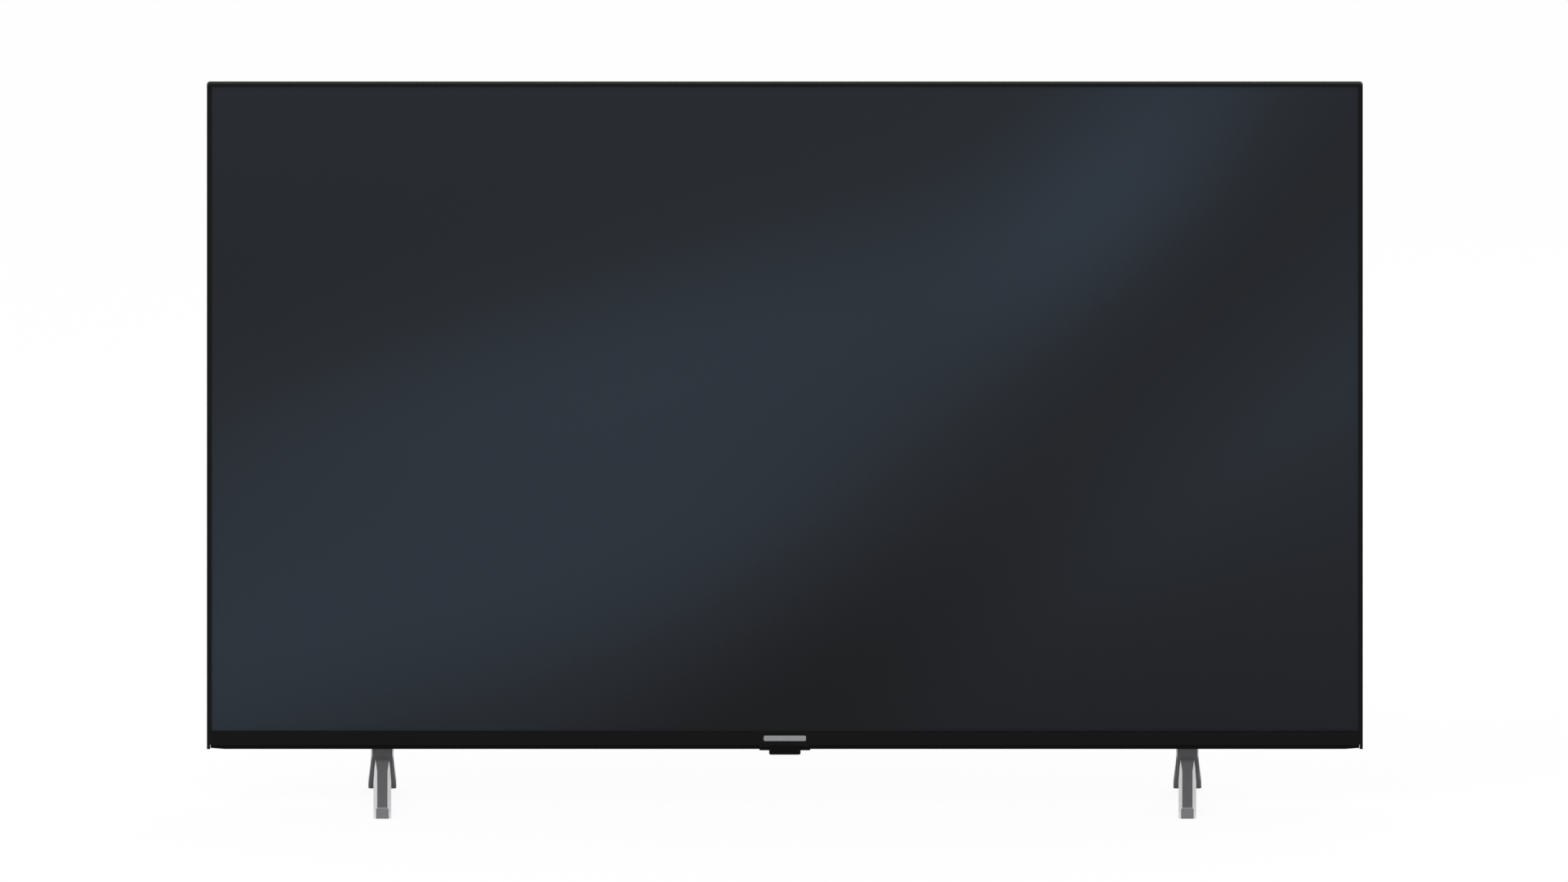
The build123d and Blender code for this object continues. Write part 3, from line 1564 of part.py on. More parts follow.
# Plugs on the boards, and two clips that hold the power harness on the tray
clip_bore = harness_radius + clip_bore_gap
clip_half = clip_bore + clip_wall
clip_z = harness_z - harness_sag / 2
with BuildPart() as wire_fittings:
    plug(power_plug_x - plug_size / 2, harness_z)
    plug(led_plug_x - plug_size / 2, led_plug_z)
    plug(right_speaker_x - plug_size / 2, right_speaker_z)
    for height in (harness_z, left_speaker_z, control_z, wireless_z):
        plug(main_plug_x, height)
    half = ribbon_width / 2 + wire_radius
    block((ribbon_place - half, board_front - ribbon_plug_depth, ribbon_start_z),
          (ribbon_place + half, board_front, ribbon_start_z + ribbon_plug_height))
    block((ribbon_place - half, source_back, ribbon_end_z - ribbon_plug_height / 2),
          (ribbon_place + half, source_back + ribbon_plug_depth, ribbon_end_z + ribbon_plug_height / 2))
    for share in clip_shares:
        x = harness_low_left + share * (harness_low_right - harness_low_left)
        block((x - clip_width / 2, tray_back, clip_z - clip_half),
              (x + clip_width / 2, wire_y + clip_half, clip_z + clip_half))
        rod((x - clip_width, wire_y, clip_z), (1, 0, 0), clip_bore, 2 * clip_width, mode=Mode.SUBTRACT)
save(wire_fittings, "wire_fittings")

# Flat ribbon from the main board down behind the tray and forward to the source board
with BuildPart() as panel_ribbon:
    with BuildLine(Plane.YZ.offset(ribbon_place)) as ribbon_route:
        FilletPolyline(
            (ribbon_start_y, ribbon_start_z),
            (ribbon_start_y, ribbon_start_z - wire_lift),
            (ribbon_y, board_low + wire_radius),
            (ribbon_y, ribbon_end_z + wire_lift),
            (source_back + 2 * ribbon_plug_depth, ribbon_end_z),
            (source_back + ribbon_plug_depth, ribbon_end_z),
            radius=ribbon_thickness,
        )
    with BuildSketch(Plane(origin=ribbon_route.line @ 0, x_dir=(1, 0, 0), z_dir=ribbon_route.line % 0)):
        Rectangle(ribbon_width, ribbon_thickness)
    sweep(path=ribbon_route.line)
save(panel_ribbon, "panel_ribbon")

# Power harness from the power board to the main board, sagging a little between its plugs
power_run = [
    (harness_in, plug_y, harness_z),
    (harness_in + harness_step, plug_y, harness_z),
    (harness_low_left, wire_y, harness_z),
    ((harness_low_left + harness_low_right) / 2, wire_y, harness_z - harness_sag),
    (harness_low_right, wire_y, harness_z),
    (main_plug_x - harness_step, plug_y, harness_z),
    (main_plug_x, plug_y, harness_z),
]

# Lamp wires: up from the power board and into the tray
lamp_run = [
    (led_plug_x, plug_y, led_plug_z + plug_size / 2),
    (led_plug_x, plug_y, board_high + 2 * plug_size),
    (led_plug_x, tray_back, board_high + 2 * plug_size),
]

# Speaker wires: a long run to the left box and a short one to the right box
left_wire_z = speaker_top - 2 * plug_size
left_speaker_run = [
    (main_plug_x, plug_y, left_speaker_z),
    (main_plug_x - harness_step, plug_y, left_speaker_z),
    (main_plug_x - 2 * harness_step, speaker_wire_y, left_speaker_z),
    (0, speaker_wire_y, board_low),
    (power_board_right, speaker_wire_y, left_wire_z),
    (4 * plug_size - speaker_left_edge, speaker_wire_y, left_wire_z),
    (2 * plug_size - speaker_left_edge, driver_y, left_wire_z),
    (-speaker_left_edge, driver_y, left_wire_z),
]
right_speaker_run = [
    (right_speaker_x, board_back + plug_size, right_speaker_z),
    (right_speaker_x, driver_y, right_speaker_z),
    (right_speaker_x, driver_y, speaker_top),
]

# Control wires to the board over the joystick key
control_top = can_top + control_board_thickness
control_end_y = stick_y + control_board_depth / 4
control_run = [
    (main_plug_x, plug_y, control_z),
    (main_plug_x - harness_step, plug_y, control_z),
    (main_plug_x - 2 * harness_step, wire_y, control_z),
    (control_board_width, wire_y, board_low),
    (control_board_width / 2, wire_y, control_top + wire_bend),
    (control_board_width / 4, control_end_y, control_top + wire_bend),
    (control_board_width / 4, control_end_y, control_top),
]

# Aerial wire of the wireless module
wireless_wire_y = wireless_back + wireless_wire_radius + fit
wireless_middle = board_high + wireless_height / 2
wireless_run = [
    (wireless_edge, wireless_wire_y, wireless_middle),
    (wireless_edge + 4 * plug_size, wireless_wire_y, wireless_middle),
    (main_plug_x - 3 * harness_step, wireless_wire_y, wireless_z),
    (main_plug_x - harness_step, plug_y, wireless_z),
    (main_plug_x, plug_y, wireless_z),
]

with BuildPart() as wiring:
    for run, radius, bend in (
        (power_run, harness_radius, wire_bend),
        (lamp_run, harness_radius, wire_bend),
        (left_speaker_run, wire_radius, wire_bend),
        (right_speaker_run, wire_radius, wire_bend),
        (control_run, wire_radius, wire_bend / 2),
        (wireless_run, wireless_wire_radius, wire_bend),
    ):
        add(cable(run, radius, bend))
save(wiring, "wiring")
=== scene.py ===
# Flat screen television on two splayed metal feet: finishes, dressed pieces, light and camera
import math

import bmesh
import bpy
import numpy as np
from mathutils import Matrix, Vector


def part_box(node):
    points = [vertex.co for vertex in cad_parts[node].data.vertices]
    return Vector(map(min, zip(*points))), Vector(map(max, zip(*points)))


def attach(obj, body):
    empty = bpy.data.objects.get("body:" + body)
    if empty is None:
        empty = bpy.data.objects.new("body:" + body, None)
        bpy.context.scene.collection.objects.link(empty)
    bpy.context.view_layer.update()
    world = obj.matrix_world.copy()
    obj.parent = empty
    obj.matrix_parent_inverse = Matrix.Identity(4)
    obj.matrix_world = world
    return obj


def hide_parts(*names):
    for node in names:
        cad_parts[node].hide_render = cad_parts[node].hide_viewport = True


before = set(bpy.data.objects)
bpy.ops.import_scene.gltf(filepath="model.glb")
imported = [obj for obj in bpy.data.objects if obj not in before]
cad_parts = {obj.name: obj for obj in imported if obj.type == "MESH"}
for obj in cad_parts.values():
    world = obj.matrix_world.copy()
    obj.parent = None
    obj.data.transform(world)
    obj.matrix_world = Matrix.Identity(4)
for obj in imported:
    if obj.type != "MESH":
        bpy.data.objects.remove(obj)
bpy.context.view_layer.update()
print("frame loaded:", len(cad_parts), "nodes")


# an 8-bit screen colour as the linear colour that a shader wants: of 255, a very dark level's share is
# divided and a lighter one's is raised to a power
def paint(red, green, blue):
    linear = []
    for level in (red, green, blue):
        share = level / 255
        if share <= 0.04045:
            linear.append(share / 12.92)
        else:
            linear.append(((share + 0.055) / 1.055) ** 2.4)
    return (*linear, 1.0)


# the camera: in front of the set, a little above it, without perspective
cameraLook = {
    "elevation": 8.0,
    "aim": (-0.0009, 0.0, 0.3901),
    "away": 4.0,
    "width": 1.6711,
    "nearest": 0.05,
    "farthest": 30,
}


# the camera stands on a line through the aim, tilted up by the elevation, and looks back down it
def placeCamera(look):
    data = bpy.data.cameras.new("camera")
    data.type = "ORTHO"
    data.ortho_scale = look["width"]
    data.clip_start = look["nearest"]
    data.clip_end = look["farthest"]
    camera = bpy.data.objects.new("camera", data)
    bpy.context.scene.collection.objects.link(camera)
    tilt = math.radians(look["elevation"])
    x, y, z = look["aim"]
    camera.location = (x, y - look["away"] * math.cos(tilt), z + look["away"] * math.sin(tilt))
    camera.rotation_euler = (math.radians(90) - tilt, 0, 0)
    bpy.context.scene.camera = camera


placeCamera(cameraLook)
bpy.context.scene.view_settings.view_transform = "Standard"
print("camera placed")


# a number that varies over a surface: arithmetic on it adds Math nodes to its tree
class Varying:
    def __init__(self, tree, socket):
        self.tree = tree
        self.socket = socket

    def maths(self, operation, *terms):
        made = self.tree.node("Math", {"operation": operation}, dict(enumerate(terms)))
        return Varying(self.tree, made.outputs[0])

    def __add__(self, other):
        return self.maths("ADD", self, other)

    def __radd__(self, other):
        return self.maths("ADD", other, self)

    def __sub__(self, other):
        return self.maths("SUBTRACT", self, other)

    def __rsub__(self, other):
        return self.maths("SUBTRACT", other, self)

    def __mul__(self, other):
        return self.maths("MULTIPLY", self, other)

    def __rmul__(self, other):
        return self.maths("MULTIPLY", other, self)

    def __truediv__(self, other):
        return self.maths("DIVIDE", self, other)

    def __rpow__(self, other):
        return self.maths("POWER", other, self)

    def __abs__(self):
        return self.maths("ABSOLUTE", self)

    # what is left over after whole steps, from 0 to 1
    def leftOver(self):
        return self.maths("FRACT", self)

    def larger(self, other):
        return self.maths("MAXIMUM", self, other)


# a node tree in the making, of a material or of the world
class NodeTree:
    def __init__(self, owner):
        owner.use_nodes = True
        self.tree = owner.node_tree
        self.tree.nodes.clear()

    # one node: its settings come first, then the values or links of its sockets
    def node(self, kind, settings=None, sockets=None):
        made = self.tree.nodes.new("ShaderNode" + kind)
        for name, value in (settings or {}).items():
            if name == "stops":
                ramp = made.color_ramp
                while len(ramp.elements) < len(value):
                    ramp.elements.new(1.0)
                for element, (position, colour) in zip(ramp.elements, value):
                    element.position = position
                    element.color = colour
            else:
                setattr(made, name, value)
        for name, value in (sockets or {}).items():
            self.join(value, made.inputs[name])
        return made

    def join(self, value, entry):
        if isinstance(value, Varying):
            value = value.socket
        if isinstance(value, bpy.types.NodeSocket):
            self.tree.links.new(value, entry)
        else:
            entry.default_value = value


# kinds of noise: how many finer layers each has, and how strong a layer is next to the one before
noiseKinds = {
    "grain": (2.0, 0.5),
    "lines": (3.0, 0.5),
    "cloud": (4.0, 0.5),
    "fibres": (5.0, 0.7),
    "patches": (6.0, 0.7),
    "rubbed": (7.0, 0.75),
}


# a material in the making: a node tree with one Principled shader
class Finish(NodeTree):
    def __init__(self, name, **steady):
        self.material = bpy.data.materials.new(name)
        super().__init__(self.material)
        self.shader = self.node("BsdfPrincipled")
        for socket, value in steady.items():
            self.shader.inputs[socket.replace("_", " ")].default_value = value
        self.output = self.node("OutputMaterial", {}, {"Surface": self.shader.outputs[0]})
        self.place = self.node("TexCoord").outputs["Object"]

    def feed(self, name, value):
        self.join(value, self.shader.inputs[name])

    # the named Object coordinates, in metres
    def axes(self, names):
        split = self.node("SeparateXYZ", {}, {0: self.place})
        return [Varying(self, split.outputs["xyz".index(name)]) for name in names]

    # Object coordinates stretched by three factors
    def stretched(self, factors):
        return self.node("VectorMath", {"operation": "MULTIPLY"}, {0: self.place, 1: factors}).outputs[0]

    # noise of one kind and one grain size in metres, from 0 to 1
    def noise(self, kind, grain, stretch=(1, 1, 1)):
        layers, strength = noiseKinds[kind]
        made = self.node(
            "TexNoise",
            {"noise_dimensions": "3D"},
            {"Vector": self.stretched(stretch), "Scale": 1 / grain, "Detail": layers, "Roughness": strength},
        )
        return Varying(self, made.outputs[0])

    # cells round many scattered points, one grain apart
    def scattered(self, grain, stretch=(1, 1, 1), measure="EUCLIDEAN"):
        return self.node(
            "TexVoronoi",
            {"voronoi_dimensions": "3D", "distance": measure, "feature": "F1"},
            {"Vector": self.stretched(stretch), "Scale": 1 / grain},
        ).outputs

    # distance to the nearest scattered point, in grains
    def cells(self, grain, stretch=(1, 1, 1), measure="EUCLIDEAN"):
        return Varying(self, self.scattered(grain, stretch, measure)["Distance"])

    # a number from 0 to 1 that is the same all over one cell
    def cellNumber(self, grain):
        colour = self.scattered(grain)["Color"]
        return Varying(self, self.node("SeparateColor", {}, {0: colour}).outputs[0])

    # a smooth step from 0 at low to 1 at high
    def step(self, value, low, high):
        made = self.node(
            "MapRange",
            {"interpolation_type": "SMOOTHSTEP"},
            {"Value": value, "From Min": low, "From Max": high, "To Min": 0.0, "To Max": 1.0},
        )
        return Varying(self, made.outputs[0])

    # 1 inside the band from low to high, 0 outside, with a soft edge
    def band(self, value, low, high, soft):
        return self.step(value, low - soft, low + soft) * (1 - self.step(value, high - soft, high + soft))

    def mix(self, share, first, second):
        return self.node("Mix", {"data_type": "RGBA"}, {0: share, 6: first, 7: second}).outputs[2]

    def ramp(self, value, stops):
        return self.node("ValToRGB", {"stops": stops}, {0: value}).outputs[0]

    # a height from 0 to 1, times a depth in metres, becomes a bump on the shader's Normal
    def relief(self, height, depth, strength):
        made = self.node("Bump", {}, {"Height": height, "Distance": depth, "Strength": strength})
        self.feed("Normal", made.outputs[0])

    # how much the face looks along x, y and z
    def facing(self):
        split = self.node("SeparateXYZ", {}, {0: self.node("NewGeometry").outputs["Normal"]})
        return [Varying(self, out) for out in split.outputs]


# a moulded plastic's look: its two colours, and what differs from the usual
def plasticLook(dark, light, **changes):
    look = {
        "dark": dark,
        "light": light,
        "dusty": paint(70, 70, 72),
        "dust": 0.03,
        "dustPatch": 0.23,  # size of the dusty patches, in clouds
        "dustEdge": (0.55, 0.8),  # the dust fades in between these levels of its noise
        "dustRough": 0.08,
        "gloss": 0.25,
        "rough": 0.42,
        "uneven": 0.1,
        "cloud": 0.06,
        "grain": 0.0005,
        "grainShare": 0.6,  # the grain's share of the relief, and the rest is pits
        "pits": 2.2,  # size of the pits, in grains
        "relief": 0.00006,
        "strength": 0.35,
    }
    look.update(changes)
    return look


# moulded plastic: a fine spark-worn grain in the bump, cloudy roughness and slightly uneven colour
def mouldedPlastic(name, look):
    finish = Finish(name, Specular_IOR_Level=look["gloss"])
    cloud = finish.noise("cloud", look["cloud"])
    grain = finish.noise("grain", look["grain"])
    pits = finish.cells(look["grain"] * look["pits"])
    dust = finish.step(finish.noise("patches", look["cloud"] * look["dustPatch"]), *look["dustEdge"])
    colour = finish.mix(cloud, look["dark"], look["light"])
    finish.feed("Base Color", finish.mix(dust * look["dust"], colour, look["dusty"]))
    finish.feed("Roughness", look["rough"] + (cloud - 0.5) * look["uneven"] + dust * look["dustRough"])
    height = grain * look["grainShare"] + pits * (1 - look["grainShare"])
    finish.relief(height, look["relief"], look["strength"])
    return finish.material


# a metal's look: its two colours, and what differs from the usual
def metalLook(dark, light, **changes):
    look = {
        "dark": dark,
        "light": light,
        "metal": 1.0,
        "rough": 0.35,
        "uneven": 0.15,
        "cloud": 0.04,
        "grain": 0.0006,
        "stretch": (0.05, 1, 1),  # the brushing runs along the axis with the small factor
        "lineShare": 0.6,  # the brushing's share of the colour, and the rest is clouds
        "wornPatch": 0.3,  # size of the worn patches, in clouds
        "wornEdge": (0.55, 0.8),
        "wornRough": 0.1,
        "relief": 0.00003,
        "strength": 0.4,
    }
    look.update(changes)
    return look


# rolled or cast metal: noise drawn out along one axis makes the brushing, clouds make the wear
def brushedMetal(name, look):
    finish = Finish(name, Metallic=look["metal"])
    lines = finish.noise("lines", look["grain"], look["stretch"])
    cloud = finish.noise("cloud", look["cloud"])
    worn = finish.step(finish.noise("patches", look["cloud"] * look["wornPatch"]), *look["wornEdge"])
    tone = lines * look["lineShare"] + cloud * (1 - look["lineShare"])
    finish.feed("Base Color", finish.mix(tone, look["dark"], look["light"]))
    finish.feed("Roughness", look["rough"] + (lines - 0.5) * look["uneven"] + worn * look["wornRough"])
    finish.relief(lines, look["relief"], look["strength"])
    return finish.material


screenLook = {
    "bottom": 33.0,  # darkest level of the painted reflection, out of 255
    "span": 24.5,
    "middle": 39.6,
    # the painted reflection also grows lighter across and up by the tilt
    "tilt": (1.5, 10.9),  # levels per metre across and up
    # each soft band of painted reflection: place across, place up, turn in degrees, half length, half width,
    # levels it adds
    "bands": (
        (-0.5716, 0.1578, 16.0, 1.314, 0.177, 18.1),
        (-0.1917, 0.4781, 15.1, 0.637, 0.109, 9.2),
        (0.3764, 0.6901, 49.4, 0.232, 0.097, 10.8),
        (0.2892, 0.4051, 42.7, 0.660, 0.1185, -11.3),
        (0.4801, 0.3540, 38.0, 0.258, 0.052, 2.0),
    ),
    "colours": (
        (0.0, paint(31, 33, 35)),
        (0.26, paint(37, 39, 43)),
        (0.51, paint(41, 45, 50)),
        (0.76, paint(45, 51, 59)),
        (1.0, paint(48, 56, 65)),
    ),
    "gloss": 0.1,
    "sheen": 0.0068,  # grey light that the glass adds by itself
    "gain": 1.08,
    "edge": paint(44, 47, 50),
    "edgeShare": 0.6,
    "edgeIn": (0.002, 0.0007),  # the edge line fades in between these distances from the glass's edge
    "sparkle": 0.0004,  # grain sizes of the sparkle and the haze, and the roughness that each adds
    "sparkleRough": 0.05,
    "haze": 0.18,
    "hazeRough": 0.1,
    "rough": 0.2,
    "relief": 0.00002,
    "strength": 0.1,
}


# a colour as it should be seen, less the glass's sheen
def underSheen(colour, look):
    return (*[(share - look["sheen"]) / look["gain"] for share in colour[:3]], 1.0)


# the screen: a painted reflection of soft light on dark glass. Each band falls off as e to the minus of its
# squared distance, in half lengths and half widths, and the bands' sum runs through a ramp of blue-greys.
# The glass is a little lighter at its edge
def screenGlass(name, look):
    finish = Finish(name, Specular_IOR_Level=look["gloss"])
    x, z = finish.axes("xz")
    low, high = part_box("lcd_panel")
    middle = (low[2] + high[2]) / 2
    level = look["middle"] + x * look["tilt"][0] + (z - middle) * look["tilt"][1]
    for across, up, turn, long, wide, adds in look["bands"]:
        cosine = math.cos(math.radians(turn))
        sine = math.sin(math.radians(turn))
        along = ((x - across) * cosine + (z - up) * sine) / long
        beside = ((z - up) * cosine - (x - across) * sine) / wide
        level = level + adds * math.e ** ((along * along + beside * beside) * -1)
    stops = [(place, underSheen(colour, look)) for place, colour in look["colours"]]
    # the painted reflection's levels run through the ramp of blue-greys
    paintedReflection = finish.ramp((level - look["bottom"]) / look["span"], stops)
    edgeFrom, edgeTo = look["edgeIn"]
    edgeX = finish.step(abs(x), high[0] - edgeFrom, high[0] - edgeTo)
    edgeZ = finish.step(abs(z - middle), high[2] - middle - edgeFrom, high[2] - middle - edgeTo)
    edge = edgeX.larger(edgeZ) * look["edgeShare"]
    finish.feed("Base Color", finish.mix(edge, paintedReflection, underSheen(look["edge"], look)))
    sparkle = finish.noise("grain", look["sparkle"])
    haze = finish.noise("lines", look["haze"])
    finish.feed("Roughness", look["rough"] + haze * look["hazeRough"] + sparkle * look["sparkleRough"])
    finish.relief(sparkle, look["relief"], look["strength"])
    return finish.material


footLook = {
    "leg": paint(144, 144, 146),
    # flank: a painted reflection of bright surroundings on the sideways faces
    "flank": paint(226, 226, 227),
    # block and toe: painted shade on the faces that look straight forward
    "block": paint(76, 76, 78),
    "toe": paint(117, 117, 119),
    # toe edge: a painted highlight along the toe's upper edge
    "toeHighlight": paint(158, 158, 159),
    # rear: painted shade on the rear leg's sides and underside
    "rear": paint(76, 76, 78),
    "worn": paint(132, 132, 134),
    "wornShare": 0.12,
    "metal": 0.55,
    "rough": 0.38,
    "rearRough": 0.45,  # how much rougher the shaded rear leg is
    "lines": 0.0007,  # grain of the brushing, how it is stretched, and the roughness that it adds
    "lineStretch": (1, 1, 0.05),
    "lineRough": 0.12,
    "cloud": 0.02,
    "cloudRough": 0.1,
    "relief": 0.00003,
    "strength": 0.3,
    "toeHigh": 0.0125,  # height of the toe's upper edge
    "toeBand": 0.0007,
    "toeSoft": 0.0002,
    "blockFrom": (0.02, 0.03),  # from toe to block, the colour changes between these heights
    "blockFront": (0.0015, 0.002),  # the rear leg starts between these places, behind the block's front
    "rearTop": (0.05, 0.053),  # and ends between these heights
    # top line of the rear leg: where it starts, how high, how much it falls and how far the painted shade
    # runs in
    "topStart": 0.022,
    "topHigh": 0.048,
    "topFall": 0.381,
    "shade": (0.001, 0.011),
    # parts of a face's direction, from where it starts to count as such a face to where it fully does
    "looksAhead": (0.8, 0.95),
    "looksSideways": (0.15, 0.75),
    "looksUp": (0.1, 0.3),
    "looksBack": (0.5, 0.9),
}


# the feet: satin metal of one grey, with light and shade painted into the colour by how a face looks: the
# flanks are bright with a painted reflection, and the block and toe, which look straight forward, are dark
# with painted shade. A face's share of the flank's painted reflection grows with the sideways part of its
# direction. Behind the block's front, the sides and the underside get painted shade, which darkens with the
# distance below the rear leg's top line. A thin painted highlight runs along the toe's upper edge
def footMetal(name, look):
    finish = Finish(name, Metallic=look["metal"])
    y, z = finish.axes("yz")
    sideways, back, upward = finish.facing()
    lines = finish.noise("lines", look["lines"], look["lineStretch"])
    cloud = finish.noise("cloud", look["cloud"])
    ahead = finish.step(back * -1, *look["looksAhead"])
    toeHigh, toeBand = look["toeHigh"], look["toeBand"]
    # a thin painted highlight along the toe's upper edge
    edge = finish.band(z, toeHigh - toeBand, toeHigh + toeBand, look["toeSoft"])
    # painted shade on the toe and the block, where they look straight forward
    front = finish.mix(finish.step(z, *look["blockFrom"]), look["toe"], look["block"])
    colour = finish.mix(ahead, look["leg"], finish.mix(edge, front, look["toeHighlight"]))
    # painted reflection on the flanks, by how far a face looks sideways
    colour = finish.mix(finish.step(abs(sideways), *look["looksSideways"]), colour, look["flank"])
    belowTop = look["topHigh"] - (y - look["topStart"]) * look["topFall"] - z
    shaded = finish.step(belowTop, *look["shade"])
    behind = finish.step(y, *look["blockFront"]) * (1 - finish.step(z, *look["rearTop"]))
    underOrSide = (1 - finish.step(upward, *look["looksUp"])) * (1 - finish.step(back, *look["looksBack"]))
    # painted shade on the rear leg's sides and underside, below its top line
    rear = shaded * behind * underOrSide
    colour = finish.mix(rear, colour, look["rear"])
    finish.feed("Base Color", finish.mix(cloud * look["wornShare"], colour, look["worn"]))
    uneven = (lines - 0.5) * look["lineRough"] + (cloud - 0.5) * look["cloudRough"]
    finish.feed("Roughness", look["rough"] + uneven + rear * look["rearRough"])
    finish.relief(lines, look["relief"], look["strength"])
    return finish.material


coverLook = {
    "dark": paint(24, 24, 25),
    "light": paint(33, 33, 34),
    # painted shade in the grooves between the ribs
    "groove": paint(13, 13, 14),
    "grooveShare": 0.75,
    "ribPitch": 0.008,  # fine level ribs on the thin part of the cover, in metres
    "ribFrom": 0.0105,  # how far back the ribs start and end
    "ribTo": 0.0223,
    "ribSoft": 0.0002,
    "ribEdge": (0.1, 0.34),  # a rib rises between these shares of the way from groove to groove
    "gloss": 0.35,
    "cloud": 0.07,
    "cloudShare": 0.5,
    "cloudRough": 0.16,
    "grain": 0.0011,
    "grainHigh": 0.3,  # height of the grain, where a groove is 1 deep
    "pits": 1.6,  # size of the pits, in grains
    "rubbed": 0.03,
    "rubbedEdge": (0.56, 0.78),
    "rubbedRough": 0.1,
    "rough": 0.5,
    "relief": 0.0005,
    "strength": 0.6,
}


# the rear cover: spark-worn grain all over, and level ribs on the thin part. A rib's height is how far
# the place up is from the nearest groove, cut off flat. The grooves are painted darker, as painted shade
def coverFinish(name, look):
    finish = Finish(name, Specular_IOR_Level=look["gloss"])
    y, z = finish.axes("yz")
    fromGroove = abs((z / look["ribPitch"]).leftOver() - 0.5) * 2
    thin = finish.band(y, look["ribFrom"], look["ribTo"], look["ribSoft"])
    groove = (1 - finish.step(fromGroove, *look["ribEdge"])) * thin
    cloud = finish.noise("cloud", look["cloud"])
    grain = finish.noise("grain", look["grain"])
    pits = finish.cells(look["grain"] * look["pits"])
    rubbed = finish.step(finish.noise("rubbed", look["rubbed"]), *look["rubbedEdge"])
    tone = cloud * look["cloudShare"] + pits * (1 - look["cloudShare"])
    colour = finish.mix(tone, look["dark"], look["light"])
    # painted shade darkens the grooves between the ribs
    finish.feed("Base Color", finish.mix(groove * look["grooveShare"], colour, look["groove"]))
    rough = look["rough"] + (cloud - 0.5) * look["cloudRough"] - rubbed * look["rubbedRough"]
    finish.feed("Roughness", rough)
    height = (grain * 0.5 + pits * 0.5) * look["grainHigh"] - groove
    finish.relief(height, look["relief"], look["strength"])
    return finish.material


boardLook = {
    "mask": paint(10, 62, 34),
    "track": paint(22, 92, 48),
    "pad": paint(176, 178, 172),
    "flat": (1, 0.01, 1),  # the pattern hardly changes through the board's thickness
    "cell": 0.006,
    "rings": 7,  # tracks that follow each other over one cell size
    "trackEdge": (0.45, 0.6),
    "pads": 0.0035,
    "padEdge": (0.12, 0.06),
    "metal": 0.8,
    "rough": 0.4,
    "trackRough": 0.1,
    "relief": 0.00004,
    "strength": 0.5,
}


# a circuit board: straight tracks run round the middles of square cells and show through the green mask,
# and a pad lies where a scattered point is near
def boardFinish(name, look):
    finish = Finish(name)
    rings = (finish.cells(look["cell"], look["flat"], "CHEBYCHEV") * look["rings"]).leftOver()
    track = finish.step(rings, *look["trackEdge"])
    pads = finish.step(finish.cells(look["pads"], look["flat"]), *look["padEdge"])
    finish.feed("Base Color", finish.mix(pads, finish.mix(track, look["mask"], look["track"]), look["pad"]))
    finish.feed("Metallic", pads * look["metal"])
    finish.feed("Roughness", look["rough"] - track * look["trackRough"])
    finish.relief(track, look["relief"], look["strength"])
    return finish.material


sheetLook = {
    "dull": paint(157, 160, 163),
    "bright": paint(184, 187, 190),
    "crystal": 0.012,
    "crystalRough": 0.16,
    "metal": 0.9,
    "rough": 0.32,
    "grain": 0.001,
    "relief": 0.00003,
    "strength": 0.3,
}


# galvanised sheet: the crystals are scattered cells, each with its own grey and roughness
def galvanisedSheet(name, look):
    finish = Finish(name, Metallic=look["metal"])
    tone = finish.cellNumber(look["crystal"])
    finish.feed("Base Color", finish.mix(tone, look["dull"], look["bright"]))
    finish.feed("Roughness", look["rough"] + tone * look["crystalRough"])
    finish.relief(finish.noise("lines", look["grain"]), look["relief"], look["strength"])
    return finish.material


portLook = {
    "lowest": 0.215,  # height of the lowest socket of the side bay and the step from one to the next
    "pitch": 0.026,
    "tongueHalf": 0.0062,
    "tongueSoft": 0.0002,
    "tongueFrom": 0.0285,
    "tongueTo": 0.0322,
    "endSoft": 0.0001,
    "shell": (paint(176, 176, 174), paint(216, 215, 212)),
    "tongue": paint(20, 21, 23),
    "tongueRough": 0.2,
    "lines": 0.0006,
    "lineStretch": (0.05, 1, 1),
    "lineRough": 0.12,
    "rough": 0.24,
    "relief": 0.00003,
    "strength": 0.3,
}


# sockets of the side bay: folded nickel shells, dark where the contact tongue lies, which is near the
# middle of each socket's height and of its depth from the board
def portFinish(name, look):
    finish = Finish(name)
    y, z = finish.axes("yz")
    offMiddle = abs(((z - look["lowest"]) / look["pitch"] + 0.5).leftOver() - 0.5) * look["pitch"]
    half = look["tongueHalf"]
    nearMiddle = 1 - finish.step(offMiddle, half, half + look["tongueSoft"])
    tongue = nearMiddle * finish.band(y, look["tongueFrom"], look["tongueTo"], look["endSoft"])
    lines = finish.noise("lines", look["lines"], look["lineStretch"])
    finish.feed("Base Color", finish.mix(tongue, finish.mix(lines, *look["shell"]), look["tongue"]))
    finish.feed("Metallic", 1 - tongue)
    finish.feed("Roughness", look["rough"] + lines * look["lineRough"] + tongue * look["tongueRough"])
    finish.relief(lines, look["relief"], look["strength"])
    return finish.material


wireLook = {
    "patch": 0.11,  # size of the patches that share one sleeve colour, in metres
    "sleeves": (
        (0.0, paint(26, 26, 28)),
        (0.42, paint(30, 30, 33)),
        (0.5, paint(150, 30, 26)),
        (0.68, paint(158, 36, 30)),
        (0.76, paint(206, 204, 196)),
        (1.0, paint(214, 212, 204)),
    ),
    "speck": 0.0007,
    "speckRough": 0.16,
    "rough": 0.38,
    "relief": 0.00005,
    "strength": 0.4,
}


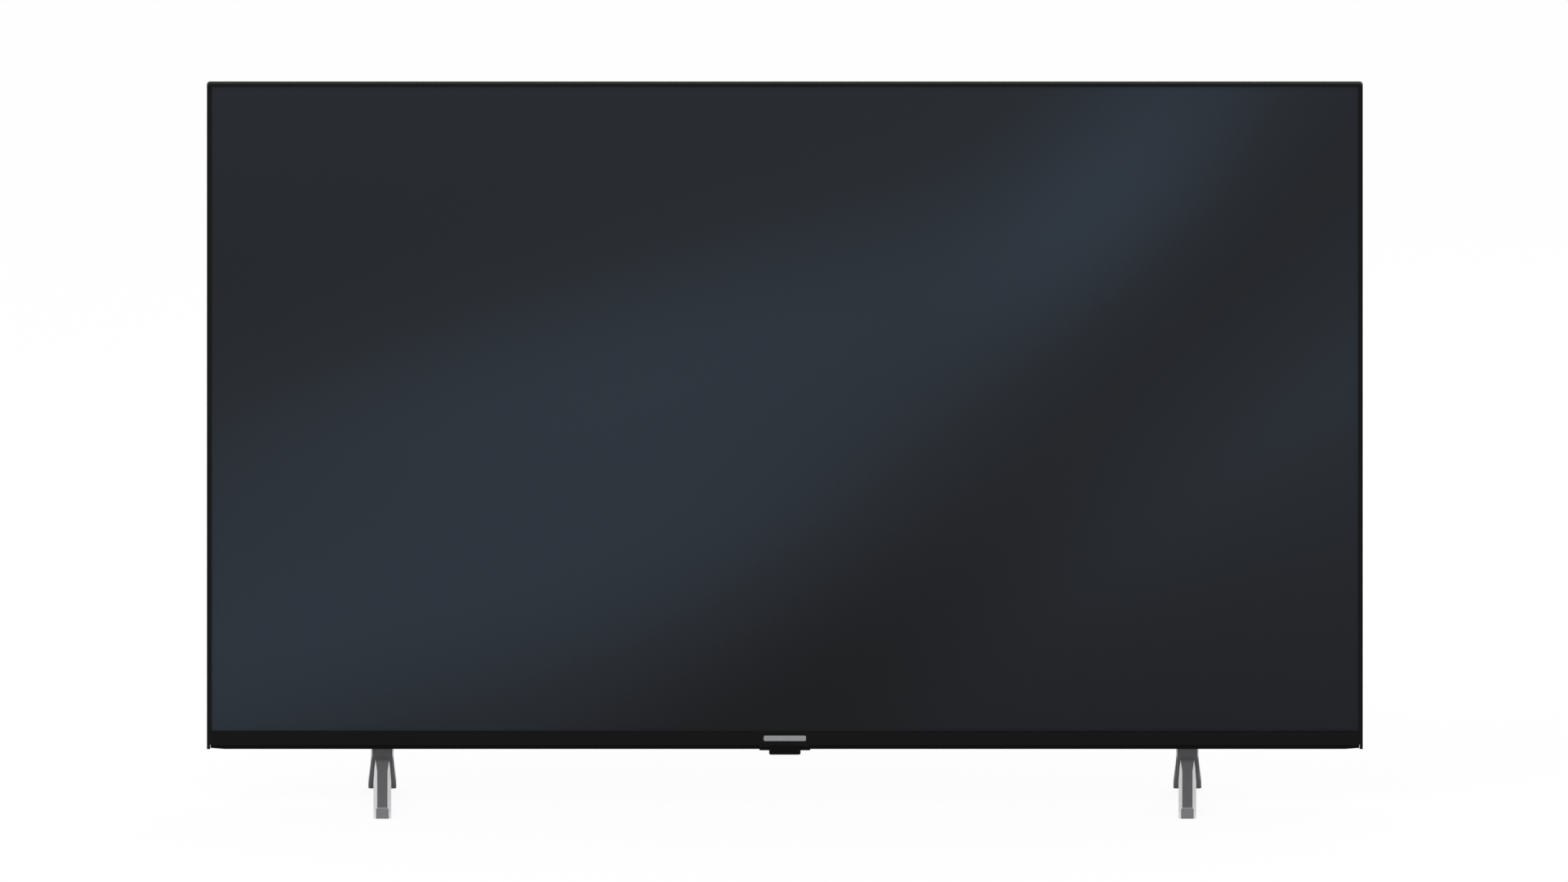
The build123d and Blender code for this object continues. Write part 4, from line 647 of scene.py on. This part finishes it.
# wire sleeves: each run lies in a patch of scattered cells, and the patch's number picks its colour
def wireFinish(name, look):
    finish = Finish(name)
    speck = finish.noise("lines", look["speck"])
    finish.feed("Base Color", finish.ramp(finish.cellNumber(look["patch"]), look["sleeves"]))
    finish.feed("Roughness", look["rough"] + speck * look["speckRough"])
    finish.relief(speck, look["relief"], look["strength"])
    return finish.material


filmLook = {
    "dotEdge": (0.03, 0.07),  # squared distances from a dot's middle, in pitches, where it ends
    "cloud": 0.01,
    "cloudRough": 0.2,
    "rough": 0.5,
    "relief": 0.00005,
    "strength": 0.4,
}


# film or sheet plastic of the backlight: rows of printed dots, spaced evenly across and up
def printedFilm(name, base, dot, pitch, look):
    finish = Finish(name)
    x, z = finish.axes("xz")
    across = (x / pitch).leftOver() - 0.5
    up = (z / pitch).leftOver() - 0.5
    dots = 1 - finish.step(across * across + up * up, *look["dotEdge"])
    finish.feed("Base Color", finish.mix(dots, base, dot))
    finish.feed("Roughness", look["rough"] + finish.noise("lines", look["cloud"]) * look["cloudRough"])
    finish.relief(dots, look["relief"], look["strength"])
    return finish.material


# two colours that follow each other along one axis
def bandLook(first, second, axis, pitch, share, rough):
    return {
        "first": first,
        "second": second,
        "axis": axis,
        "pitch": pitch,
        "share": share,  # the second colour's share of a pitch
        "soft": 0.04,
        "rough": rough,
        "speck": 0.0006,
        "speckRough": 0.2,
        "stripeShare": 0.7,  # the stripe's share of the relief, and the rest is specks
        "relief": 0.00008,
        "strength": 0.5,
    }


# windings, sleeves and flat cables: a stripe of the second colour in the middle of each pitch
def bandedFinish(name, look):
    finish = Finish(name)
    wave = (finish.axes(look["axis"])[0] / look["pitch"]).leftOver()
    stripe = finish.band(wave, 0.5 - look["share"] / 2, 0.5 + look["share"] / 2, look["soft"])
    speck = finish.noise("lines", look["speck"])
    finish.feed("Base Color", finish.mix(stripe, look["first"], look["second"]))
    finish.feed("Roughness", look["rough"] + (speck - 0.5) * look["speckRough"])
    height = stripe * look["stripeShare"] + speck * (1 - look["stripeShare"])
    finish.relief(height, look["relief"], look["strength"])
    return finish.material


paperLook = {
    "thin": paint(28, 27, 26),
    "thick": paint(74, 71, 66),
    "fibre": 0.0012,
    "drawn": ((1, 1, 0.2), (0.2, 1, 1)),  # the fibres run up and across
    "fibreRough": 0.15,
    "rough": 0.8,
    "relief": 0.0001,
    "strength": 0.6,
}


# pressed paper: long fibres across each other, darker where the pulp is thin
def paperCone(name, look):
    finish = Finish(name)
    upward, across = (finish.noise("fibres", look["fibre"], stretch) for stretch in look["drawn"])
    fibres = upward * 0.5 + across * 0.5
    finish.feed("Base Color", finish.mix(fibres, look["thin"], look["thick"]))
    finish.feed("Roughness", look["rough"] + fibres * look["fibreRough"])
    finish.relief(fibres, look["relief"], look["strength"])
    return finish.material


plastics = {
    "bezel": (
        "bezelSatinBlack",
        plasticLook(paint(20, 21, 21), paint(26, 27, 27), gloss=0.008, rough=0.5, dust=0.01),
    ),
    "chin": ("chinSatinBlack", plasticLook(paint(9, 9, 9), paint(13, 13, 13), gloss=0.08, dust=0.01)),
    "rail": ("railSatinBlack", plasticLook(paint(6, 6, 6), paint(9, 9, 9), gloss=0.06, dust=0.01)),
    "window": (
        "receiverWindowSmoked",
        plasticLook(paint(11, 11, 12), paint(14, 14, 15), gloss=0.03, rough=0.2, relief=0.00001, dust=0.0),
    ),
    "inner": ("innerFrameBlack", plasticLook(paint(30, 30, 30), paint(44, 44, 44), rough=0.6)),
    "rubber": (
        "padRubber",
        plasticLook(paint(18, 18, 18), paint(34, 34, 34), rough=0.85, grain=0.0009, relief=0.0002, gloss=0.2),
    ),
    "epoxy": ("chipEpoxy", plasticLook(paint(18, 18, 19), paint(40, 40, 42), rough=0.6, grain=0.0004)),
    "nylon": ("plugNylon", plasticLook(paint(214, 208, 188), paint(232, 228, 210), dust=0.06, gloss=0.5)),
    "clear": ("lensPlastic", plasticLook(paint(214, 218, 222), paint(240, 243, 246), rough=0.1, gloss=0.6)),
    "ferrite": (
        "magnetFerrite",
        plasticLook(paint(44, 44, 46), paint(66, 66, 68), rough=0.7, grain=0.0004, gloss=0.4),
    ),
}

metals = {
    "plate": ("blankPlateBrushed", metalLook(paint(120, 121, 123), paint(170, 171, 173), rough=0.4)),
    "bracket": ("bracketSteel", metalLook(paint(150, 152, 154), paint(186, 188, 190))),
    "screw": (
        "screwBlackZinc",
        metalLook(paint(52, 52, 54), paint(84, 84, 86), rough=0.4, stretch=(1, 1, 1), metal=0.8),
    ),
    "zinc": (
        "insertZinc",
        metalLook(paint(150, 152, 154), paint(196, 198, 200), rough=0.32, stretch=(1, 0.1, 1)),
    ),
    "nickel": ("nickelShell", metalLook(paint(176, 176, 174), paint(214, 213, 210), rough=0.26)),
    "brass": (
        "inletPinBrass",
        metalLook(paint(168, 132, 62), paint(214, 178, 96), rough=0.3, stretch=(1, 0.2, 1)),
    ),
    "aluminium": (
        "heatsinkAluminium",
        metalLook(paint(170, 172, 174), paint(204, 206, 208), stretch=(1, 1, 0.05)),
    ),
}

bands = {
    "amber": ("amberFilm", bandLook(paint(150, 88, 26), paint(176, 118, 46), "x", 0.0012, 0.5, 0.35)),
    "capacitor": ("capacitorSleeve", bandLook(paint(18, 26, 52), paint(190, 192, 196), "x", 0.023, 0.2, 0.3)),
    "winding": ("transformerTape", bandLook(paint(196, 160, 44), paint(62, 60, 58), "z", 0.013, 0.4, 0.5)),
    "ribbon": ("ribbonCable", bandLook(paint(206, 208, 210), paint(156, 158, 162), "x", 0.001, 0.5, 0.4)),
}

finishes = {
    "screen": screenGlass("screenGlassDark", screenLook),
    "foot": footMetal("footCastSatin", footLook),
    "cover": coverFinish("rearCoverGrained", coverLook),
    "wire": wireFinish("wireSleeves", wireLook),
    "steel": galvanisedSheet("traySteel", sheetLook),
    "port": portFinish("sideSocketShells", portLook),
    "board": boardFinish("boardMask", boardLook),
    "film": printedFilm("filmPearl", paint(226, 228, 230), paint(240, 241, 242), 0.004, filmLook),
    "reflector": printedFilm("reflectorWhite", paint(238, 238, 238), paint(222, 223, 224), 0.009, filmLook),
    "paper": paperCone("conePaper", paperLook),
}
for looks, maker in ((plastics, mouldedPlastic), (metals, brushedMetal), (bands, bandedFinish)):
    for finishName, (materialName, look) in looks.items():
        finishes[finishName] = maker(materialName, look)
print("finishes made:", len(finishes))

# which finish each node of the model gets
nodeFinish = {
    "bezel": ("bezel_top", "bezel_left", "bezel_right", "corner_keys", "receiver_housing", "stick_cap"),
    "chin": ("bottom_trim",),
    "rail": ("bottom_rail",),
    "plate": ("nameplate",),
    "screen": ("lcd_panel",),
    "window": ("receiver_tab",),
    "foot": ("foot_left", "foot_right"),
    "cover": ("rear_cover",),
    "inner": ("middle_frame", "speaker_boxes", "stick_shaft", "mains_inlet", "card_slot"),
    "rubber": ("foot_pads", "panel_gasket", "speaker_surround_left", "speaker_surround_right"),
    "epoxy": ("board_chips", "audio_sockets"),
    "wire": ("wiring",),
    "clear": ("led_lenses", "diffuser_supports", "receiver_lamps"),
    "nylon": ("wire_fittings",),
    "steel": ("back_tray", "tuner_can"),
    "bracket": ("foot_brackets", "speaker_frames", "stick_housing", "stick_gimbal"),
    "screw": ("rear_cover_screws", "foot_screws", "board_screws"),
    "nickel": ("lan_port", "aerial_sockets", "wireless_module"),
    "port": ("side_sockets",),
    "zinc": ("mounting_inserts",),
    "brass": ("inlet_pins",),
    "ferrite": ("speaker_magnets",),
    "aluminium": ("heatsinks",),
    "board": ("circuit_boards", "source_boards", "control_boards", "led_bars"),
    "film": ("optical_films", "diffuser_plate"),
    "reflector": ("reflector_sheet",),
    "amber": ("cof_films",),
    "capacitor": ("capacitors",),
    "winding": ("transformers",),
    "ribbon": ("panel_ribbon",),
    "paper": ("speaker_cone_left", "speaker_cone_right"),
}
for finishName, nodes in nodeFinish.items():
    for node in nodes:
        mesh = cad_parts[node].data
        mesh.materials.clear()
        mesh.materials.append(finishes[finishName])
dressed = {node for nodes in nodeFinish.values() for node in nodes}
print("nodes dressed:", len(dressed), "left bare:", sorted(set(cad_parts) - dressed))

# the two directions across an axis, turned so that the first crossed with the second is the axis
acrossBack = ((0, 0, 1), (1, 0, 0))  # axis straight back, +y
acrossDown = ((0, 1, 0), (1, 0, 0))  # axis straight down, -z
mergeWithin = 0.000001  # points nearer than this are one point


# a closed turned surface: each of the rows gives a distance from the axis and a place along it for every
# column, and the column's angle turns that round the axis. One copy stands at each place
def turnedPiece(name, rows, angles, across, places, node, finish):
    distance, along = (np.concatenate(grids) for grids in zip(*rows))
    first, second = (np.array(direction, float) for direction in across)
    axis = np.cross(first, second)
    outward = np.cos(angles)[:, None] * first + np.sin(angles)[:, None] * second
    grid = distance[:, :, None] * outward[None] + along[:, :, None] * axis
    high, columns = distance.shape
    row, column = np.meshgrid(np.arange(high - 1), np.arange(columns), indexing="ij")
    beside = (column + 1) % columns
    here = row * columns
    ahead = (row + 1) * columns
    faces = np.stack((here + column, ahead + column, ahead + beside, here + beside), axis=-1).reshape(-1, 4)
    places = np.array(places, float)
    points = (places[:, None, None, :] + grid[None]).reshape(-1, 3)
    offsets = np.arange(len(places))[:, None, None] * high * columns
    mesh = bpy.data.meshes.new(name)
    mesh.from_pydata(points.tolist(), [], (offsets + faces[None]).reshape(-1, 4).tolist())
    work = bmesh.new()
    work.from_mesh(mesh)
    bmesh.ops.remove_doubles(work, verts=work.verts, dist=mergeWithin)
    work.to_mesh(mesh)
    work.free()
    mesh.materials.append(finish)
    piece = bpy.data.objects.new(name, mesh)
    bpy.context.scene.collection.objects.link(piece)
    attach(piece, "set")
    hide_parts(node)
    print("turned piece:", name, len(places), "copies,", len(mesh.polygons), "faces")


# a triangle wave from 0 to 1 and back
def triangle(turns):
    return 1 - np.abs(2 * (turns % 1) - 1)


# rows of a screw thread: the distance from the axis rises and falls with the place along the axis less
# the share of a turn, so that the ridge winds round
def threadRows(start, end, rows, pitch, root, crest, angles):
    along = np.linspace(start, end, rows)[:, None] + 0 * angles[None]
    distance = root + (crest - root) * triangle(along / pitch - angles[None] / (2 * np.pi))
    return distance, along


# rings with one distance and one place along the axis each
def plainRows(rings, angles):
    rings = np.array(rings, float)
    return rings[:, :1] + 0 * angles[None], rings[:, 1:] + 0 * angles[None]


# evenly spaced angles, once round
def evenAngles(columns):
    return np.arange(columns) * 2 * np.pi / columns


screwShape = {
    "flankDegrees": (19, 27, 36),  # columns on a recess's flank, from the middle of an arm
    "cornerDegrees": 2,  # and one close beside the arm's corner
    # rings of the recess, from its floor out: share of the cross's edge, share of the depth
    "recess": ((0, 1), (0.6, 1), (0.85, 0.4), (1, 0)),
    # rounded rim of the head: out and down from the top, in head radii
    "rim": ((0.86, 0), (0.95, 0.06), (1, 0.18)),
    # its lower edge: out and up from the seat, in head radii
    "seat": ((1, 0.04), (0.96, 0)),
    # where the thread starts, its root's radius and the tip's radius, in shank radii
    "threadStart": 0.1,
    "threadRoot": 0.8,
    "tip": 0.5,
}


# angles round a cross recess: close together where an arm ends, the same in each quarter
def crossAngles(long, half, shape):
    corner = math.degrees(math.atan2(half, long))
    oneSide = [corner, corner + shape["cornerDegrees"], *shape["flankDegrees"]]
    quarter = np.array([-45, *[-angle for angle in reversed(oneSide)], 0, *oneSide])
    return np.radians(np.concatenate([quarter + turn for turn in (0, 90, 180, 270)]))


# edge of a cross: the end of an arm is flat at its length, and its sides are flat at half its width
def crossEdge(angles, long, half):
    fromArm = np.abs((angles + np.pi / 4) % (np.pi / 2) - np.pi / 4)
    smallest = 0.0001  # keeps the sine off 0 in the middle of an arm
    return np.minimum(long / np.cos(fromArm), half / np.maximum(np.sin(fromArm), smallest))


# a pan head screw: the cross recess in rings that shrink its edge, the head's rounded rim, then the thread
def makeScrews(name, look, places, node, shape):
    angles = crossAngles(look["crossLong"], look["crossHalf"], shape)
    edge = crossEdge(angles, look["crossLong"], look["crossHalf"])
    head, high, shank = look["head"], look["high"], look["shank"]
    recess = [(share, high - deep * look["crossDeep"]) for share, deep in shape["recess"]]
    recessShare, recessAlong = plainRows(recess, angles)
    recessDistance = recessShare * edge[None]
    rim = [(out * head, high - down * head) for out, down in shape["rim"]]
    seat = [(out * head, up * head) for out, up in shape["seat"]]
    rimRows = plainRows([*rim, *seat, (shank, 0)], angles)
    thread = threadRows(
        -shape["threadStart"] * shank,
        -look["reach"],
        look["threadRows"],
        look["pitch"],
        shape["threadRoot"] * shank,
        shank,
        angles,
    )
    tip = plainRows([(shape["tip"] * shank, -look["reach"]), (0, -look["reach"])], angles)
    rows = [(recessDistance, recessAlong), rimRows, thread, tip]
    turnedPiece(name, rows, angles, acrossBack, places, node, finishes["screw"])


# the place where heads sit: the node's rearmost place, less the height of a head
def seatBack(node, look):
    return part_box(node)[1][1] - look["high"]


# the places of round pieces that stand at the corners of a node's box, one radius in from its sides
def cornerPlaces(node, radius, back):
    low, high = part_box(node)
    heights = (low[2] + radius, high[2] - radius)
    return [(x, back, z) for z in heights for x in (low[0] + radius, high[0] - radius)]


coverScrewLook = {
    "head": 0.0032,
    "high": 0.0018,
    "shank": 0.0015,
    "reach": 0.0032,
    "pitch": 0.0008,
    "threadRows": 17,
    "crossLong": 0.0019,
    "crossHalf": 0.00042,
    "crossDeep": 0.001,
    # places out to each side and up, as shares of the body's half width and height
    "shares": ((0.93, 0.08), (0.93, 0.5), (0.93, 0.95), (0.48, 0.95), (0.8, 0.32), (0.8, 0.7)),
}
bodyLow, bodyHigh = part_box("bezel_right")  # the side rail gives the body's half width, foot and height
coverSeats = [
    (
        side * across * bodyHigh[0],
        seatBack("rear_cover_screws", coverScrewLook),
        bodyLow[2] + up * (bodyHigh[2] - bodyLow[2]),
    )
    for across, up in coverScrewLook["shares"]
    for side in (-1, 1)
]
makeScrews("rearCoverScrews", coverScrewLook, coverSeats, "rear_cover_screws", screwShape)

footScrewLook = {
    "head": 0.0036,
    "high": 0.002,
    "shank": 0.002,
    "reach": 0.009,
    "pitch": 0.0008,
    "threadRows": 46,
    "crossLong": 0.0022,
    "crossHalf": 0.0005,
    "crossDeep": 0.0012,
}
footSeats = cornerPlaces("foot_screws", footScrewLook["head"], seatBack("foot_screws", footScrewLook))
makeScrews("footScrews", footScrewLook, footSeats, "foot_screws", screwShape)

insertLook = {
    "flange": 0.012,
    "flangeThick": 0.002,
    "pillar": 0.007,
    "bore": 0.003,
    "boreDeep": 0.022,
    "bevel": 0.15,  # in bore radii
    "pitch": 0.001,
    "threadDeep": 0.0004,
    "threadRows": 89,
    "columns": 32,
}


# a wall mounting insert: up the threaded bore from its floor, over the chamfered mouth, down the pillar
# and out over the riveted flange
def makeInserts(look):
    angles = evenAngles(look["columns"])
    bore, pillar, flange, thick = look["bore"], look["pillar"], look["flange"], look["flangeThick"]
    low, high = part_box("mounting_inserts")
    mouth = high[1] - low[1]
    floor = mouth - look["boreDeep"]
    bevel = look["bevel"] * bore
    floorRows = plainRows([(0, floor - bevel), (bore, floor)], angles)
    root = bore + look["threadDeep"]
    threadEnds = (floor + bevel, mouth - 2 * bevel)
    thread = threadRows(*threadEnds, look["threadRows"], look["pitch"], root, bore, angles)
    outside = plainRows(
        [
            (bore, mouth - bevel),
            (bore + bevel, mouth),
            (pillar - bevel, mouth),
            (pillar, mouth - bevel),
            (pillar, thick + bevel),
            (pillar + bevel, thick),
            (flange - bevel, thick),
            (flange, thick - bevel),
            (flange, 0),
            (0, 0),
        ],
        angles,
    )
    rows = [floorRows, thread, outside]
    places = cornerPlaces("mounting_inserts", flange, low[1])
    finish = finishes["zinc"]
    turnedPiece("mountingInserts", rows, angles, acrossBack, places, "mounting_inserts", finish)


makeInserts(insertLook)

aerialLook = {
    "radius": 0.00475,
    "wall": 0.001,
    "lip": 0.2,  # in wall thicknesses
    "pin": 0.0012,
    "pinTip": ((0, 0), (0.55, 0.12), (1, 0.7)),  # out and down from the pin's tip, in pin radii
    "pinBack": 0.0012,  # how far the pin's tip stands back from the mouth
    "deep": 0.011,
    "pitch": 0.0011,
    "threadDeep": 0.0004,
    "threadRows": 49,
    "columns": 36,
}


# an aerial socket: over the pin's round tip, down the pin to the floor, up the barrel's inside and back
# along its threaded outside
def makeAerials(look):
    angles = evenAngles(look["columns"])
    radius, pin, deep = look["radius"], look["pin"], look["deep"]
    low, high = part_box("aerial_sockets")
    long = high[2] - low[2]
    places = [(x, (low[1] + high[1]) / 2, low[2]) for x in (low[0] + radius, high[0] - radius)]
    inside = radius - look["wall"]
    lip = look["lip"] * look["wall"]
    tip = [(out * pin, -look["pinBack"] - down * pin) for out, down in look["pinTip"]]
    barrel = [(pin, -deep), (inside, -deep), (inside, -lip), (inside + lip, 0), (radius - 2 * lip, 0)]
    inner = plainRows(tip + barrel, angles)
    root = radius - look["threadDeep"]
    thread = threadRows(-2 * lip, -deep, look["threadRows"], look["pitch"], root, radius, angles)
    end = plainRows([(radius, -deep - lip), (radius, -long), (0, -long)], angles)
    rows = [inner, thread, end]
    finish = finishes["nickel"]
    turnedPiece("aerialSockets", rows, angles, acrossDown, places, "aerial_sockets", finish)


makeAerials(aerialLook)
print("turned pieces made")

studioLook = {
    "floorSize": 24.0,
    "floor": paint(250, 250, 250),
    "floorRough": 0.9,
    "shadow": 0.93,  # share of the floor's light that a shadow can't take
    "world": 0.85,
    "background": 1.0,
    "white": (1, 1, 1, 1),
    "lampSize": 2.4,
    "lampAim": (0.0, 0.0, 0.4),
    # each lamp's name, power and place
    "lamps": (("keyLamp", 45.0, (-1.6, -2.4, 2.6)), ("backLamp", 30.0, (1.9, 2.8, 2.4))),
}


# the floor: pale and matt for light that falls on it, nearly all white to the camera, so its shadow is faint
def makeFloor(look):
    half = look["floorSize"] / 2
    corners = [(-half, -half, 0), (half, -half, 0), (half, half, 0), (-half, half, 0)]
    mesh = bpy.data.meshes.new("studioFloor")
    mesh.from_pydata(corners, [], [(0, 1, 2, 3)])
    floor = bpy.data.objects.new("studioFloor", mesh)
    bpy.context.scene.collection.objects.link(floor)
    finish = Finish(
        "studioFloor", Base_Color=look["floor"], Roughness=look["floorRough"], Specular_IOR_Level=0.0
    )
    rays = finish.node("LightPath").outputs
    seen = Varying(finish, rays["Is Camera Ray"]).larger(rays["Is Glossy Ray"])
    glow = finish.node("Emission", {}, {"Color": look["white"], "Strength": look["background"]})
    parts = {0: seen * look["shadow"], 1: finish.shader.outputs[0], 2: glow.outputs[0]}
    finish.join(finish.node("MixShader", {}, parts).outputs[0], finish.output.inputs["Surface"])
    mesh.materials.append(finish.material)


# the world: an even soft light, seen as plain white
def makeWorld(look):
    world = bpy.data.worlds.new("studioWorld")
    tree = NodeTree(world)
    soft = tree.node("Background", {}, {"Color": look["white"], "Strength": look["world"]})
    plain = tree.node("Background", {}, {"Color": look["white"], "Strength": look["background"]})
    rays = tree.node("LightPath").outputs
    seen = Varying(tree, rays["Is Camera Ray"]).larger(rays["Is Transmission Ray"])
    blend = tree.node("MixShader", {}, {0: seen, 1: soft.outputs[0], 2: plain.outputs[0]})
    tree.node("OutputWorld", {}, {"Surface": blend.outputs[0]})
    bpy.context.scene.world = world


# a square lamp at a place, turned to face its aim
def makeLamp(name, power, place, size, aim):
    data = bpy.data.lights.new(name, "AREA")
    data.energy = power
    data.size = size
    lamp = bpy.data.objects.new(name, data)
    bpy.context.scene.collection.objects.link(lamp)
    lamp.location = place
    away = np.array(place) - np.array(aim)
    flat = math.hypot(away[0], away[1])
    lamp.rotation_euler = (math.atan2(flat, away[2]), 0, math.atan2(away[1], away[0]) + math.radians(90))


makeFloor(studioLook)
makeWorld(studioLook)
for name, power, place in studioLook["lamps"]:
    makeLamp(name, power, place, studioLook["lampSize"], studioLook["lampAim"])
print("studio made")
